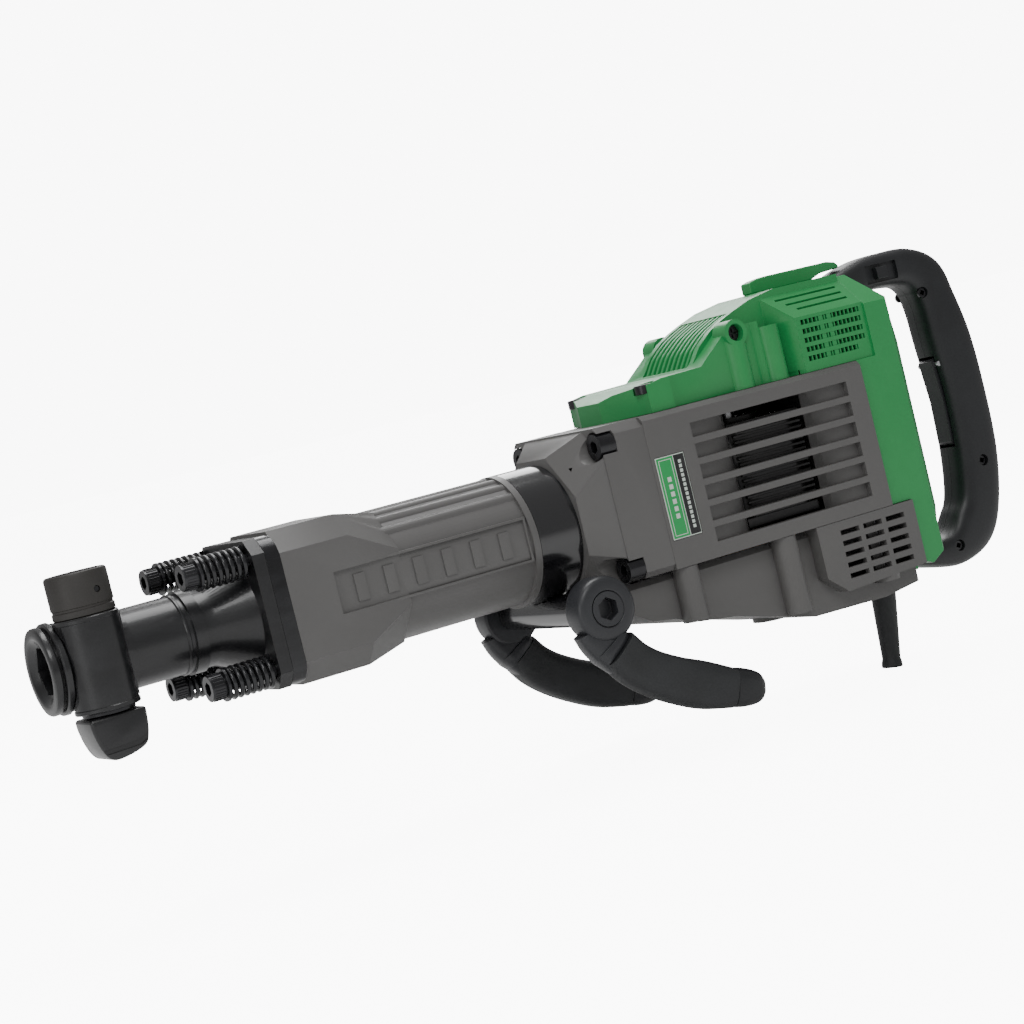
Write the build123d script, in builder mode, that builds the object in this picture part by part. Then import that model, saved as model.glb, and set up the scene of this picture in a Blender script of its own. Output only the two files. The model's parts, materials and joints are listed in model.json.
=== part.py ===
from build123d import *

import math
import os

# Electric demolition hammer for 30 mm hexagonal tools.
# X runs along the tool axis, from the mouth of the socket to the rear handle. Z is up, towards the
# green cover. The origin is the centre of the socket's mouth. All lengths are in millimetres.

# Driving dimensions
HEX_SIZE = 30.4            # across the flats of the tool socket
RING_RADIUS = 28.5         # front ring
NOSE_RADIUS = 26.0         # nose tube
BOLT_Y = 35.0              # flange bolts, off the axis
BOLT_Z = 36.0
FLANGE_FRONT = 138.0       # front of the nose flange
PLATE_THICKNESS = 9.0      # nose flange and buffer plate
BARREL_FRONT = 157.0       # front of the barrel casting
BARREL_REAR = 343.0
BARREL_RADIUS = 44.5
LINER_BORE = 27.0          # radius of the hammer cylinder
LINER_RADIUS = 33.0
BAND_REAR = 376.0          # rear of the clamp ring, front of the crankcase
SPIGOT_RADIUS = 41.0       # neck that carries the clamp ring
HOUSING_HALF = 62.5        # half width of the crankcase and the side covers
CORE_HALF = 55.5           # half width of the motor housing under the covers
HOUSING_TOP = 63.0
HOUSING_FLOOR = -46.0      # joint between the upper and the lower housing
CRANK_X = 440.0            # crankshaft axis, upright
CRANK_THROW = 22.0
ROD_LENGTH = 110.0
IDLER_X = 495.0            # intermediate gear shaft
MOTOR_X = 545.0            # armature axis, upright
GEAR_MODULE = 2.0
PINION_TEETH = 12
IDLER_TEETH = 38
SMALL_TEETH = 14
CRANK_TEETH = 41
HINGE_X = 364.0            # side handle hinge, across the tool
HINGE_Z = -56.0
RETAINER_X = 31.0          # tool retainer, upright, beside the socket
RETAINER_Y = -20.0
PIN_RADIUS = 9.0
BOSS_TOP = 29.0
BOSS_FLOOR = -31.0
FIT = 0.05                 # radial clearance of running fits
GAP = 0.3                  # clearance between separate moving bodies

os.makedirs("parts", exist_ok=True)


def disc_x(radius, start, end, y=0.0, z=0.0, mode=Mode.ADD):
    """Cylinder along the tool axis between two stations."""
    with BuildSketch(Plane.YZ.offset(start)) as section:
        with Locations((y, z)):
            Circle(radius)
    extrude(section.sketch, amount=end - start, mode=mode)


def disc_y(radius, start, end, x, z, mode=Mode.ADD):
    """Cylinder across the tool between two widths."""
    with BuildSketch(Plane.XZ.offset(-start)) as section:
        with Locations((x, z)):
            Circle(radius)
    extrude(section.sketch, amount=start - end, mode=mode)


def disc_z(radius, start, end, x, y=0.0, mode=Mode.ADD):
    """Upright cylinder between two heights."""
    with BuildSketch(Plane.XY.offset(start)) as section:
        with Locations((x, y)):
            Circle(radius)
    extrude(section.sketch, amount=end - start, mode=mode)


def block(x_span, y_span, z_span, mode=Mode.ADD):
    """Box between two stations, two widths and two heights."""
    spans = (x_span, y_span, z_span)
    centre = tuple(sum(span) / 2 for span in spans)
    with Locations(centre):
        Box(*[span[1] - span[0] for span in spans], mode=mode)


def side_plate(points, start, end, mode=Mode.ADD):
    """Side outline given as (x, z) points, extruded across the tool."""
    with BuildSketch(Plane.XZ.offset(-start)) as section:
        with BuildLine():
            Polyline(points, close=True)
        make_face()
    extrude(section.sketch, amount=start - end, mode=mode)


def cross_plate(half_y, z_span, corner, start, end, mode=Mode.ADD):
    """Cross section with four cut corners, extruded along the tool."""
    middle = (z_span[0] + z_span[1]) / 2
    with BuildSketch(Plane.YZ.offset(start)) as section:
        with Locations((0, middle)):
            Rectangle(2 * half_y, z_span[1] - z_span[0])
        chamfer(section.vertices(), corner)
    extrude(section.sketch, amount=end - start, mode=mode)


def hexagon(size, plane, amount, mode=Mode.SUBTRACT):
    """Hexagonal prism of a given size across the flats, with flats towards the plane's x axis."""
    with BuildSketch(plane) as section:
        RegularPolygon(size / 2, 6, major_radius=False, rotation=30)
    extrude(section.sketch, amount=amount, mode=mode)


def gear_outline(teeth, tooth_at):
    """Points of one involute gear, its first tooth pointing along tooth_at degrees."""
    pressure = math.radians(25)
    pitch_radius = GEAR_MODULE * teeth / 2
    base = pitch_radius * math.cos(pressure)
    tip = pitch_radius + 0.8 * GEAR_MODULE
    root = pitch_radius - 1.1 * GEAR_MODULE
    backlash = 0.16
    half_tooth = math.pi / (2 * teeth) - backlash / pitch_radius / 2

    def spread(angle):
        return math.tan(angle) - angle

    flank = []
    inner = max(base, root)
    for step in range(6):
        radius = inner + (tip - inner) * step / 5
        roll = math.acos(min(1.0, base / radius))
        flank.append((radius, half_tooth + spread(pressure) - spread(roll)))
    if root < base:
        flank.insert(0, (root, flank[0][1]))
    outline = []
    for tooth in range(teeth):
        middle = math.radians(tooth_at) + 2 * math.pi * tooth / teeth
        for radius, half in flank:
            outline.append((radius * math.cos(middle - half), radius * math.sin(middle - half)))
        for radius, half in reversed(flank):
            outline.append((radius * math.cos(middle + half), radius * math.sin(middle + half)))
    return outline


def gear(teeth, tooth_at, x, z_span, mode=Mode.ADD):
    """Spur gear on an upright axis."""
    with BuildSketch(Plane((x, 0, z_span[0]))) as section:
        with BuildLine():
            Polyline(gear_outline(teeth, tooth_at), close=True)
        make_face()
    extrude(section.sketch, amount=z_span[1] - z_span[0], mode=mode)


def finish(piece, name):
    """Name one finished piece and write it."""
    piece.part.label = name
    export_step(piece.part, f"parts/{name}.step")


bolt_places = [(y, z) for y in (-BOLT_Y, BOLT_Y) for z in (-BOLT_Z, BOLT_Z)]
flange_rear = FLANGE_FRONT + PLATE_THICKNESS

# ---------------------------------------------------------------- nose

with BuildPart() as front_ring:
    disc_x(RING_RADIUS, 0, 5)
    disc_x(RING_RADIUS - 2.5, 5, 7)
    disc_x(RING_RADIUS + 1.5, 7, 12)
    hexagon(HEX_SIZE, Plane.YZ, 12)
    with BuildSketch(Plane.YZ) as mouth:
        Circle(21.5)
    with BuildSketch(Plane.YZ.offset(4)) as throat:
        Circle(17.0)
    loft([mouth.sketch.face(), throat.sketch.face()], mode=Mode.SUBTRACT)
    chamfer(front_ring.edges().filter_by(GeomType.CIRCLE).sort_by(Axis.X)[0:1], 0.8)
finish(front_ring, "front_ring")

with BuildPart() as nose_body:
    disc_x(27.0, 12, 56)
    disc_x(NOSE_RADIUS, 56, 116)
    disc_x(NOSE_RADIUS + 1.8, 96, 104)
    with BuildSketch(Plane.YZ.offset(112)) as neck:
        Circle(NOSE_RADIUS)
    with BuildSketch(Plane.YZ.offset(FLANGE_FRONT)) as skirt:
        Circle(37)
    loft([neck.sketch.face(), skirt.sketch.face()])
    for bolt_y, bolt_z in bolt_places:
        disc_x(13.0, 100, FLANGE_FRONT, bolt_y, bolt_z, mode=Mode.SUBTRACT)
    cross_plate(46, (-49, 49), 10, FLANGE_FRONT, flange_rear - 0.2)
    # boss of the tool retainer
    disc_z(20.5, BOSS_FLOOR, BOSS_TOP, RETAINER_X, RETAINER_Y)
    block((RETAINER_X - 16, RETAINER_X + 21), (-24, 4), (-27, 27))
    disc_x(RING_RADIUS + 3, 0, 12, mode=Mode.SUBTRACT)
    for bolt_y, bolt_z in bolt_places:
        disc_x(5.6, FLANGE_FRONT - 1, flange_rear, bolt_y, bolt_z, mode=Mode.SUBTRACT)
    disc_x(21.0, 12, 84, mode=Mode.SUBTRACT)
    disc_x(16.0 + FIT, 84, 118, mode=Mode.SUBTRACT)
    disc_x(19.0 + FIT, 116, flange_rear, mode=Mode.SUBTRACT)
    disc_z(PIN_RADIUS + FIT, BOSS_FLOOR, 22, RETAINER_X, RETAINER_Y, mode=Mode.SUBTRACT)
    disc_z(13.0, 20.6, BOSS_TOP, RETAINER_X, RETAINER_Y, mode=Mode.SUBTRACT)
finish(nose_body, "nose_body")

with BuildPart() as tool_bushing:
    disc_x(21.0, 12, 84)
    hexagon(HEX_SIZE, Plane.YZ.offset(12), 72)
    disc_z(PIN_RADIUS + FIT, BOSS_FLOOR, 22, RETAINER_X, RETAINER_Y, mode=Mode.SUBTRACT)
finish(tool_bushing, "tool_bushing")

with BuildPart() as anvil:
    disc_x(16.0, 98, 130)
    disc_x(19.0, 130, 142)
    disc_x(14.0, 142, 188)
    chamfer(anvil.edges().filter_by(GeomType.CIRCLE).sort_by(Axis.X)[0:1], 2)
finish(anvil, "anvil")

with BuildPart() as retainer_pin:
    disc_z(PIN_RADIUS, -52, 12, RETAINER_X, RETAINER_Y)
    # flat that lets the tool out after half a turn
    block((RETAINER_X - 12, RETAINER_X + 12), (RETAINER_Y - 12, RETAINER_Y - 4.5), (-18, 11), Mode.SUBTRACT)
finish(retainer_pin, "retainer_pin")

with BuildPart() as retainer_spring:
    disc_z(7.5, 12 + GAP, 28, RETAINER_X, RETAINER_Y)
    disc_z(5.0, 12 + GAP, 28, RETAINER_X, RETAINER_Y, mode=Mode.SUBTRACT)
finish(retainer_spring, "retainer_spring")

with BuildPart() as thrust_collar:
    disc_z(17.0, -33.5, BOSS_FLOOR - 0.2, RETAINER_X, RETAINER_Y)
    disc_z(PIN_RADIUS + FIT, -34, BOSS_FLOOR, RETAINER_X, RETAINER_Y, mode=Mode.SUBTRACT)
finish(thrust_collar, "thrust_collar")

with BuildPart() as retainer_cap:
    disc_z(13.0, 22, BOSS_TOP, RETAINER_X, RETAINER_Y)
    disc_z(20.0, BOSS_TOP, 57, RETAINER_X, RETAINER_Y)
    disc_z(8.0, 22, 28, RETAINER_X, RETAINER_Y, mode=Mode.SUBTRACT)
    disc_z(16.5, 55.4, 57, RETAINER_X, RETAINER_Y, mode=Mode.SUBTRACT)
    disc_y(2.0, RETAINER_Y - 20, RETAINER_Y + 20, RETAINER_X + 6, 44, mode=Mode.SUBTRACT)
    chamfer(retainer_cap.edges().filter_by(GeomType.CIRCLE).sort_by(Axis.Z)[-1:], 0.8)
finish(retainer_cap, "retainer_cap")

with BuildPart() as cap_roll_pin:
    disc_y(2.0, RETAINER_Y - 17, RETAINER_Y + 17, RETAINER_X + 6, 44)
finish(cap_roll_pin, "cap_roll_pin")

with BuildPart() as stop_lever:
    side_plate([(2, -33.7), (50, -33.7), (48, -46), (44, -58), (19, -62.5), (10, -60), (5, -48)], -38, -4)
    chamfer(stop_lever.edges().filter_by(Axis.Y).sort_by(Axis.Z)[0:2], 3)
    disc_z(PIN_RADIUS, -52, -33, RETAINER_X, RETAINER_Y, mode=Mode.SUBTRACT)
finish(stop_lever, "stop_lever")

# ---------------------------------------------------------------- flange

with BuildPart() as buffer_plate:
    cross_plate(46, (-49, 49), 10, flange_rear, BARREL_FRONT)
    disc_x(18.0, flange_rear, BARREL_FRONT, mode=Mode.SUBTRACT)
    for bolt_y, bolt_z in bolt_places:
        disc_x(5.6, flange_rear, BARREL_FRONT, bolt_y, bolt_z, mode=Mode.SUBTRACT)
finish(buffer_plate, "buffer_plate")

with BuildPart() as flange_bolts:
    for bolt_y, bolt_z in bolt_places:
        disc_x(8.5, 92, 102, bolt_y, bolt_z)
        disc_x(5.0, 102, 200, bolt_y, bolt_z)
        head = Plane((92, bolt_y, bolt_z), x_dir=(0, 1, 0), z_dir=(1, 0, 0))
        hexagon(8.0, head, 6)
finish(flange_bolts, "flange_bolts")

with BuildPart() as flange_washers:
    for bolt_y, bolt_z in bolt_places:
        disc_x(11.0, 102, 104, bolt_y, bolt_z)
        disc_x(5.0, 102, 104, bolt_y, bolt_z, mode=Mode.SUBTRACT)
finish(flange_washers, "flange_washers")

SPRING_START = 104.0
SPRING_TURNS = 7.0
SPRING_WIRE = 1.6
spring_length = FLANGE_FRONT - SPRING_START - 2 * SPRING_WIRE - 0.4
with BuildPart() as flange_springs:
    for bolt_y, bolt_z in bolt_places:
        with BuildLine() as coil:
            Helix(spring_length / SPRING_TURNS, spring_length, 9.4,
                  center=(SPRING_START + SPRING_WIRE + 0.2, bolt_y, bolt_z), direction=(1, 0, 0))
        with BuildSketch(Plane(coil.line @ 0, z_dir=coil.line % 0)) as wire:
            Circle(SPRING_WIRE)
        sweep(wire.sketch, path=coil.line)
finish(flange_springs, "flange_springs")

# ---------------------------------------------------------------- barrel

with BuildPart() as barrel_case:
    cross_plate(46, (-51, 51), 15, BARREL_FRONT, 206)
    with BuildSketch(Plane.YZ.offset(206)) as square_end:
        Rectangle(92, 102)
        chamfer(square_end.vertices(), 15)
    with BuildSketch(Plane.YZ.offset(240)) as round_end:
        RegularPolygon(BARREL_RADIUS, 8, major_radius=False, rotation=22.5)
    loft([square_end.sketch.face(), round_end.sketch.face()], ruled=True)
    disc_x(BARREL_RADIUS, 230, BARREL_REAR)
    # ridges along the upper half
    for ridge in range(7):
        angle = math.radians(45 + 15 * ridge)
        centre_y = (BARREL_RADIUS - 3) * math.cos(angle)
        centre_z = (BARREL_RADIUS - 3) * math.sin(angle)
        disc_x(4.8, 236, 338, centre_y, centre_z)
    disc_x(BARREL_RADIUS + 2.5, 338, BARREL_REAR)
    # recessed panel on each side, with plain upright ribs in it
    for side in (-1, 1):
        near, far = sorted((side * 43.2, side * 50))
        block((190, 336), (near, far), (-13, 15), Mode.SUBTRACT)
        for rib in range(6):
            start = 204 + 22 * rib
            inner, outer = sorted((side * 40, side * 44.4))
            block((start, start + 8), (inner, outer), (-8, 10))
    disc_x(LINER_RADIUS, BARREL_FRONT, BARREL_REAR, mode=Mode.SUBTRACT)
    for bolt_y, bolt_z in bolt_places:
        disc_x(5.0, BARREL_FRONT, 200, bolt_y, bolt_z, mode=Mode.SUBTRACT)
finish(barrel_case, "barrel_case")

with BuildPart() as cylinder_liner:
    disc_x(LINER_RADIUS, 176, 372)
    disc_x(LINER_BORE, 176, 372, mode=Mode.SUBTRACT)
    # air ports
    for angle in range(0, 360, 60):
        port = Plane((282, 0, 0), z_dir=(0, math.cos(math.radians(angle)), math.sin(math.radians(angle))))
        with BuildSketch(port) as hole:
            Circle(2.5)
        extrude(hole.sketch, amount=40, mode=Mode.SUBTRACT)
finish(cylinder_liner, "cylinder_liner")

with BuildPart() as front_cushion:
    disc_x(LINER_RADIUS, BARREL_FRONT, 176)
    disc_x(15.0, BARREL_FRONT, 176, mode=Mode.SUBTRACT)
finish(front_cushion, "front_cushion")

with BuildPart() as striker:
    disc_x(14.0, 200, 206)
    disc_x(LINER_BORE - FIT, 206, 250)
    disc_x(LINER_BORE - 3, 250, 255)
    disc_x(LINER_BORE - FIT, 255, 262)
finish(striker, "striker")

with BuildPart() as striker_seal:
    disc_x(LINER_BORE - FIT, 250, 255)
    disc_x(LINER_BORE - 3, 250, 255, mode=Mode.SUBTRACT)
finish(striker_seal, "striker_seal")

pin_x = CRANK_X + CRANK_THROW - ROD_LENGTH
with BuildPart() as piston:
    disc_x(LINER_BORE - FIT, pin_x - 20, pin_x + 18)
    block((pin_x - 10, pin_x + 18), (-18, 18), (-9, 9), Mode.SUBTRACT)
    disc_z(6.0, -27, 27, pin_x, mode=Mode.SUBTRACT)
    disc_x(40, pin_x - 16, pin_x - 13, mode=Mode.SUBTRACT)
    disc_x(LINER_BORE - 2.5, pin_x - 16, pin_x - 13)
finish(piston, "piston")

with BuildPart() as piston_rings:
    disc_x(LINER_BORE - FIT, pin_x - 16, pin_x - 13)
    disc_x(LINER_BORE - 2.5, pin_x - 16, pin_x - 13, mode=Mode.SUBTRACT)
finish(piston_rings, "piston_rings")

with BuildPart() as piston_pin:
    disc_z(6.0, -24, 24, pin_x)
finish(piston_pin, "piston_pin")

with BuildPart() as connecting_rod:
    disc_z(9.5, -8.5, 8.5, pin_x)
    disc_z(14.0, -8.0, 8.0, pin_x + ROD_LENGTH)
    block((pin_x + 6, pin_x + ROD_LENGTH - 10), (-6.5, 6.5), (-5, 5))
    disc_z(6.0 + FIT, -9, 9, pin_x, mode=Mode.SUBTRACT)
    disc_z(8.5, -9, 9, pin_x + ROD_LENGTH, mode=Mode.SUBTRACT)
finish(connecting_rod, "connecting_rod")

# ---------------------------------------------------------------- crankcase and gears

large_bolts = [(y, z) for y in (-54, 54) for z in (-37, 50)]
with BuildPart() as crankcase:
    disc_x(SPIGOT_RADIUS, BARREL_REAR, BAND_REAR)
    with BuildSketch(Plane.YZ.offset(BAND_REAR)) as front_face:
        RegularPolygon(50, 8, major_radius=False, rotation=22.5)
    with BuildSketch(Plane.YZ.offset(400)) as full_face:
        with Locations((0, 7)):
            Rectangle(2 * HOUSING_HALF, 112)
        chamfer(full_face.vertices(), 20)
    loft([front_face.sketch.face(), full_face.sketch.face()], ruled=True)
    cross_plate(HOUSING_HALF, (-49, HOUSING_TOP), 7, 398, 434)
    block((434, 484), (-CORE_HALF, CORE_HALF), (HOUSING_FLOOR, HOUSING_TOP - GAP))
    block((394, 440), (-70, 70), (-60, HOUSING_FLOOR), Mode.SUBTRACT)
    # pockets of the four large bolts
    for bolt_y, bolt_z in large_bolts:
        disc_x(10.5, 370, 410, bolt_y, bolt_z, mode=Mode.SUBTRACT)
        disc_x(5.0, 410, 433, bolt_y, bolt_z, mode=Mode.SUBTRACT)
    disc_x(LINER_RADIUS, 340, 372, mode=Mode.SUBTRACT)
    disc_x(LINER_BORE + 1, 372, 384, mode=Mode.SUBTRACT)
    block((382, 478), (-42, 42), (-12, 40), Mode.SUBTRACT)
    disc_z(38, -34, -11, CRANK_X, mode=Mode.SUBTRACT)
    disc_z(17.0, -50, -34, CRANK_X, mode=Mode.SUBTRACT)
finish(crankcase, "crankcase")

with BuildPart() as crankcase_bolts:
    for bolt_y, bolt_z in large_bolts:
        disc_x(9.0, 397, 410, bolt_y, bolt_z)
        disc_x(5.0, 410, 433, bolt_y, bolt_z)
        hexagon(8.0, Plane((397, bolt_y, bolt_z), x_dir=(0, 1, 0), z_dir=(1, 0, 0)), 6)
finish(crankcase_bolts, "crankcase_bolts")

with BuildPart() as crankshaft:
    disc_z(34.0, -33, -13, CRANK_X)
    disc_z(8.0, -13, -8.0 - GAP, CRANK_X + CRANK_THROW)
    block((CRANK_X - 34, CRANK_X + 40), (-40, -24), (-28, -13), Mode.SUBTRACT)
    block((CRANK_X - 34, CRANK_X + 40), (24, 40), (-28, -13), Mode.SUBTRACT)
    disc_z(8.0, -73.5, -33, CRANK_X)
finish(crankshaft, "crankshaft")

with BuildPart() as crank_gear:
    gear(CRANK_TEETH, 180.0 / CRANK_TEETH, CRANK_X, (-62, -50))
    disc_z(8.0, -62, -50, CRANK_X, mode=Mode.SUBTRACT)
    for angle in range(0, 360, 60):
        turn = math.radians(angle)
        disc_z(7.0, -62, -50, CRANK_X + 24 * math.cos(turn), 24 * math.sin(turn), mode=Mode.SUBTRACT)
finish(crank_gear, "crank_gear")

with BuildPart() as idler_gear:
    gear(IDLER_TEETH, 180.0 / IDLER_TEETH, IDLER_X, (-77, -66))
    gear(SMALL_TEETH, 180.0, IDLER_X, (-66, -49))
    disc_z(6.0, -85, -77, IDLER_X)
    disc_z(6.0, -49, -42, IDLER_X)
finish(idler_gear, "idler_gear")

with BuildPart() as gear_bearings:
    for x, radius, bore, z_span in (
        (CRANK_X, 17.0, 8.0, (-46, -35)),
        (CRANK_X, 13.5, 8.0, (-74, -65)),
        (IDLER_X, 11.0, 6.0, (-47, -42)),
        (IDLER_X, 11.0, 6.0, (-85, -79)),
    ):
        disc_z(radius, z_span[0], z_span[1], x)
        disc_z(bore + FIT / 2, z_span[0], z_span[1], x, mode=Mode.SUBTRACT)
finish(gear_bearings, "gear_bearings")

# ---------------------------------------------------------------- motor

with BuildPart() as armature_shaft:
    disc_z(6.0, -97, 96, MOTOR_X)
    gear(PINION_TEETH, 180.0, MOTOR_X, (-79, -64))
finish(armature_shaft, "armature_shaft")

with BuildPart() as armature_core:
    disc_z(30.0, -30, 36, MOTOR_X)
    for slot in range(16):
        turn = 2 * math.pi * slot / 16
        disc_z(2.2, -30, 36, MOTOR_X + 28.5 * math.cos(turn), 28.5 * math.sin(turn), mode=Mode.SUBTRACT)
    disc_z(25.0, -38, -30, MOTOR_X)
    disc_z(25.0, 36, 44, MOTOR_X)
    disc_z(6.0, -38, 44, MOTOR_X, mode=Mode.SUBTRACT)
finish(armature_core, "armature_core")

with BuildPart() as commutator:
    disc_z(18.0, -60, -42, MOTOR_X)
    for slot in range(24):
        turn = 2 * math.pi * slot / 24
        disc_z(0.7, -60, -42, MOTOR_X + 18 * math.cos(turn), 18 * math.sin(turn), mode=Mode.SUBTRACT)
    disc_z(6.0, -60, -42, MOTOR_X, mode=Mode.SUBTRACT)
finish(commutator, "commutator")

with BuildPart() as fan:
    disc_z(43.0, 66, 69, MOTOR_X)
    disc_z(14.0, 69, 82, MOTOR_X)
    for blade in range(14):
        turn = 360 * blade / 14
        blade_plane = Plane((MOTOR_X, 0, 68.5)).rotated((0, 0, turn))
        with BuildSketch(blade_plane) as vane:
            with Locations((27.5, 0)):
                Rectangle(29, 1.6)
        extrude(vane.sketch, amount=11.5)
    disc_z(6.0, 66, 82, MOTOR_X, mode=Mode.SUBTRACT)
finish(fan, "fan")

with BuildPart() as motor_bearings:
    for radius, z_span in ((13.0, (-97, -88)), (13.0, (86, 96))):
        disc_z(radius, z_span[0], z_span[1], MOTOR_X)
        disc_z(6.0 + FIT / 2, z_span[0], z_span[1], MOTOR_X, mode=Mode.SUBTRACT)
finish(motor_bearings, "motor_bearings")

with BuildPart() as stator:
    disc_z(50.0, -28, 34, MOTOR_X)
    disc_z(31.0, -28, 34, MOTOR_X, mode=Mode.SUBTRACT)
    for side in (-1, 1):
        near, far = sorted((side * 47, side * 55))
        block((MOTOR_X - 50, MOTOR_X + 50), (near, far), (-30, 36), Mode.SUBTRACT)
        for z_span in ((-35, -28), (34, 41)):
            block((MOTOR_X - 32, MOTOR_X + 32), sorted((side * 33, side * 44)), z_span)
finish(stator, "stator")

with BuildPart() as brushes:
    for side in (-1, 1):
        block((MOTOR_X - 3, MOTOR_X + 3), sorted((side * 18.3, side * 38)), (-56, -46))
finish(brushes, "brushes")

with BuildPart() as brush_holders:
    for side in (-1, 1):
        block((MOTOR_X - 5, MOTOR_X + 5), sorted((side * 22, side * 45)), (-59, -43))
        block((MOTOR_X - 3, MOTOR_X + 3), sorted((side * 20, side * 38)), (-56, -46), Mode.SUBTRACT)
finish(brush_holders, "brush_holders")

# ---------------------------------------------------------------- grey housings

with BuildPart() as motor_housing:
    block((484, 627), (-CORE_HALF, CORE_HALF), (HOUSING_FLOOR, HOUSING_TOP - GAP))
    block((490, 621), (-50.5, 50.5), (-42, 57), Mode.SUBTRACT)
    for side in (-1, 1):
        block((490, 619), sorted((side * 50, side * 60)), (-40, 50), Mode.SUBTRACT)
    disc_z(46.5, 50, 70, MOTOR_X, mode=Mode.SUBTRACT)
    disc_z(28.0, -50, -41, MOTOR_X, mode=Mode.SUBTRACT)
    disc_z(11.0, -47, -41, IDLER_X, mode=Mode.SUBTRACT)
    for side in (-1, 1):
        block((MOTOR_X - 8, MOTOR_X + 8), sorted((side * 20, side * 49)), (-47, -41), Mode.SUBTRACT)
finish(motor_housing, "motor_housing")


def side_cover(side):
    """Grey louvred cover of one side, -1 for the left and 1 for the right."""
    with BuildPart() as cover:
        block((434, 627), sorted((side * CORE_HALF, side * 63)), (HOUSING_FLOOR, HOUSING_TOP - GAP))
        outer = cover.faces().sort_by(Axis.Y)[0 if side < 0 else -1]
        chamfer(outer.edges().filter_by(Axis.X).sort_by(Axis.Z)[-1:], 3.5)
        for slot in range(6):
            top = 50 - 15 * slot
            block((472, 611), sorted((side * 50, side * 70)), (top - 10.2, top), Mode.SUBTRACT)
        if side < 0:
            block((436.5, 461.5), (-64, -62.2), (-26.5, 32.5), Mode.SUBTRACT)
    return cover


left_cover = side_cover(-1)
finish(left_cover, "left_side_cover")
right_cover = side_cover(1)
finish(right_cover, "right_side_cover")

with BuildPart() as label_plate:
    block((437, 461), (-62.9, -62.2), (-26, 32))
finish(label_plate, "label_plate")

guard_plane = Plane((650.5, 0, -86.5), z_dir=(-0.13, 0, -1))


def guard_bore(radius, length=90):
    """Round passage for the cord guard, along the guard's own slanted axis."""
    with BuildSketch(guard_plane) as passage:
        Circle(radius)
    extrude(passage.sketch, amount=length, mode=Mode.SUBTRACT)


lower_profile = [(394, -46.3), (394, -66), (413, -77), (431, -80), (450, -87), (480, -91),
                 (547, -109), (612, -111), (644, -107), (644, -46.3)]
lower_cavity = [(397, -49), (397, -64.6), (414, -74.3), (431, -77.2), (449, -84), (479, -88),
                (546, -105), (610, -107), (640, -103), (640, -49)]
boss_places = [(x, side * 53, z) for side in (-1, 1) for x, z in ((446, -85), (532, -102), (614, -99))]
BOSS_RADIUS = 9.5
with BuildPart() as lower_housing:
    side_plate(lower_profile, -50, 50)
    chamfer(lower_housing.edges().filter_by(Axis.X).group_by(Axis.Z)[0], 6)
    side_plate([(556, -46.3), (556, -84), (572, -97), (645.7, -94), (645.7, -46.3)], -62.5, 62.5)
    for x, y, z in boss_places:
        disc_z(BOSS_RADIUS, z, -46.3, x, y)
    side_plate(lower_cavity, -46, 46, mode=Mode.SUBTRACT)
    block((566, 641), (-58, 58), (-90, -46), Mode.SUBTRACT)
    # open top: the upper housings close it
    block((397, 640), (-46, 46), (-49.5, -46), Mode.SUBTRACT)
    # bearing seats
    for x, radius, bore, z_span in (
        (CRANK_X, 15.0, 13.5, (-80, -65)),
        (IDLER_X, 14.0, 11.0, (-93, -79)),
        (MOTOR_X, 16.0, 13.0, (-108, -88)),
    ):
        disc_z(radius, z_span[0], z_span[1], x)
        disc_z(bore, z_span[0] + 6, z_span[1] + 0.5, x, mode=Mode.SUBTRACT)
    for x, y, z in boss_places:
        disc_z(BOSS_RADIUS, z, -46.3, x, y)
        disc_z(2.5, z, -46.3, x, y, mode=Mode.SUBTRACT)
        disc_z(5.0, z, z + 9, x, y, mode=Mode.SUBTRACT)
    guard_bore(11.2)
    # short vent slots in both sides, behind the brushes
    for side in (-1, 1):
        for row in range(5):
            for column in range(3):
                start = 576 + 21 * column
                height = -53 - 8 * row
                width = sorted((side * 55, side * 66))
                block((start, start + 17), width, (height - 3.6, height), Mode.SUBTRACT)
finish(lower_housing, "lower_housing")

with BuildPart() as housing_screws:
    for x, y, z in boss_places:
        disc_z(4.6, z + 3, z + 8.9, x, y)
        disc_z(2.4, z + 8.9, -47, x, y)
        hexagon(3.4, Plane((x, y, z + 3)), 3)
finish(housing_screws, "housing_screws")

# ---------------------------------------------------------------- green covers

cover_floor = HOUSING_TOP
BLOCK_HALF = 58.0          # half width of the green block over the motor
BLOCK_REAR = 645.0
dome_arc = [(502, 87), (512, 99.5), (524, 108.5), (535, 114), (546, 118.4), (563, 124), (586, 128)]
PILLAR_X = 532.0
PILLAR_Z = 103.5           # height of the screw hole at the head of each pillar
SCREW_X = 452.0
pillar_places = [(PILLAR_X, side * 48) for side in (-1, 1)]
screw_places = [(SCREW_X, side * 47) for side in (-1, 1)]

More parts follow.
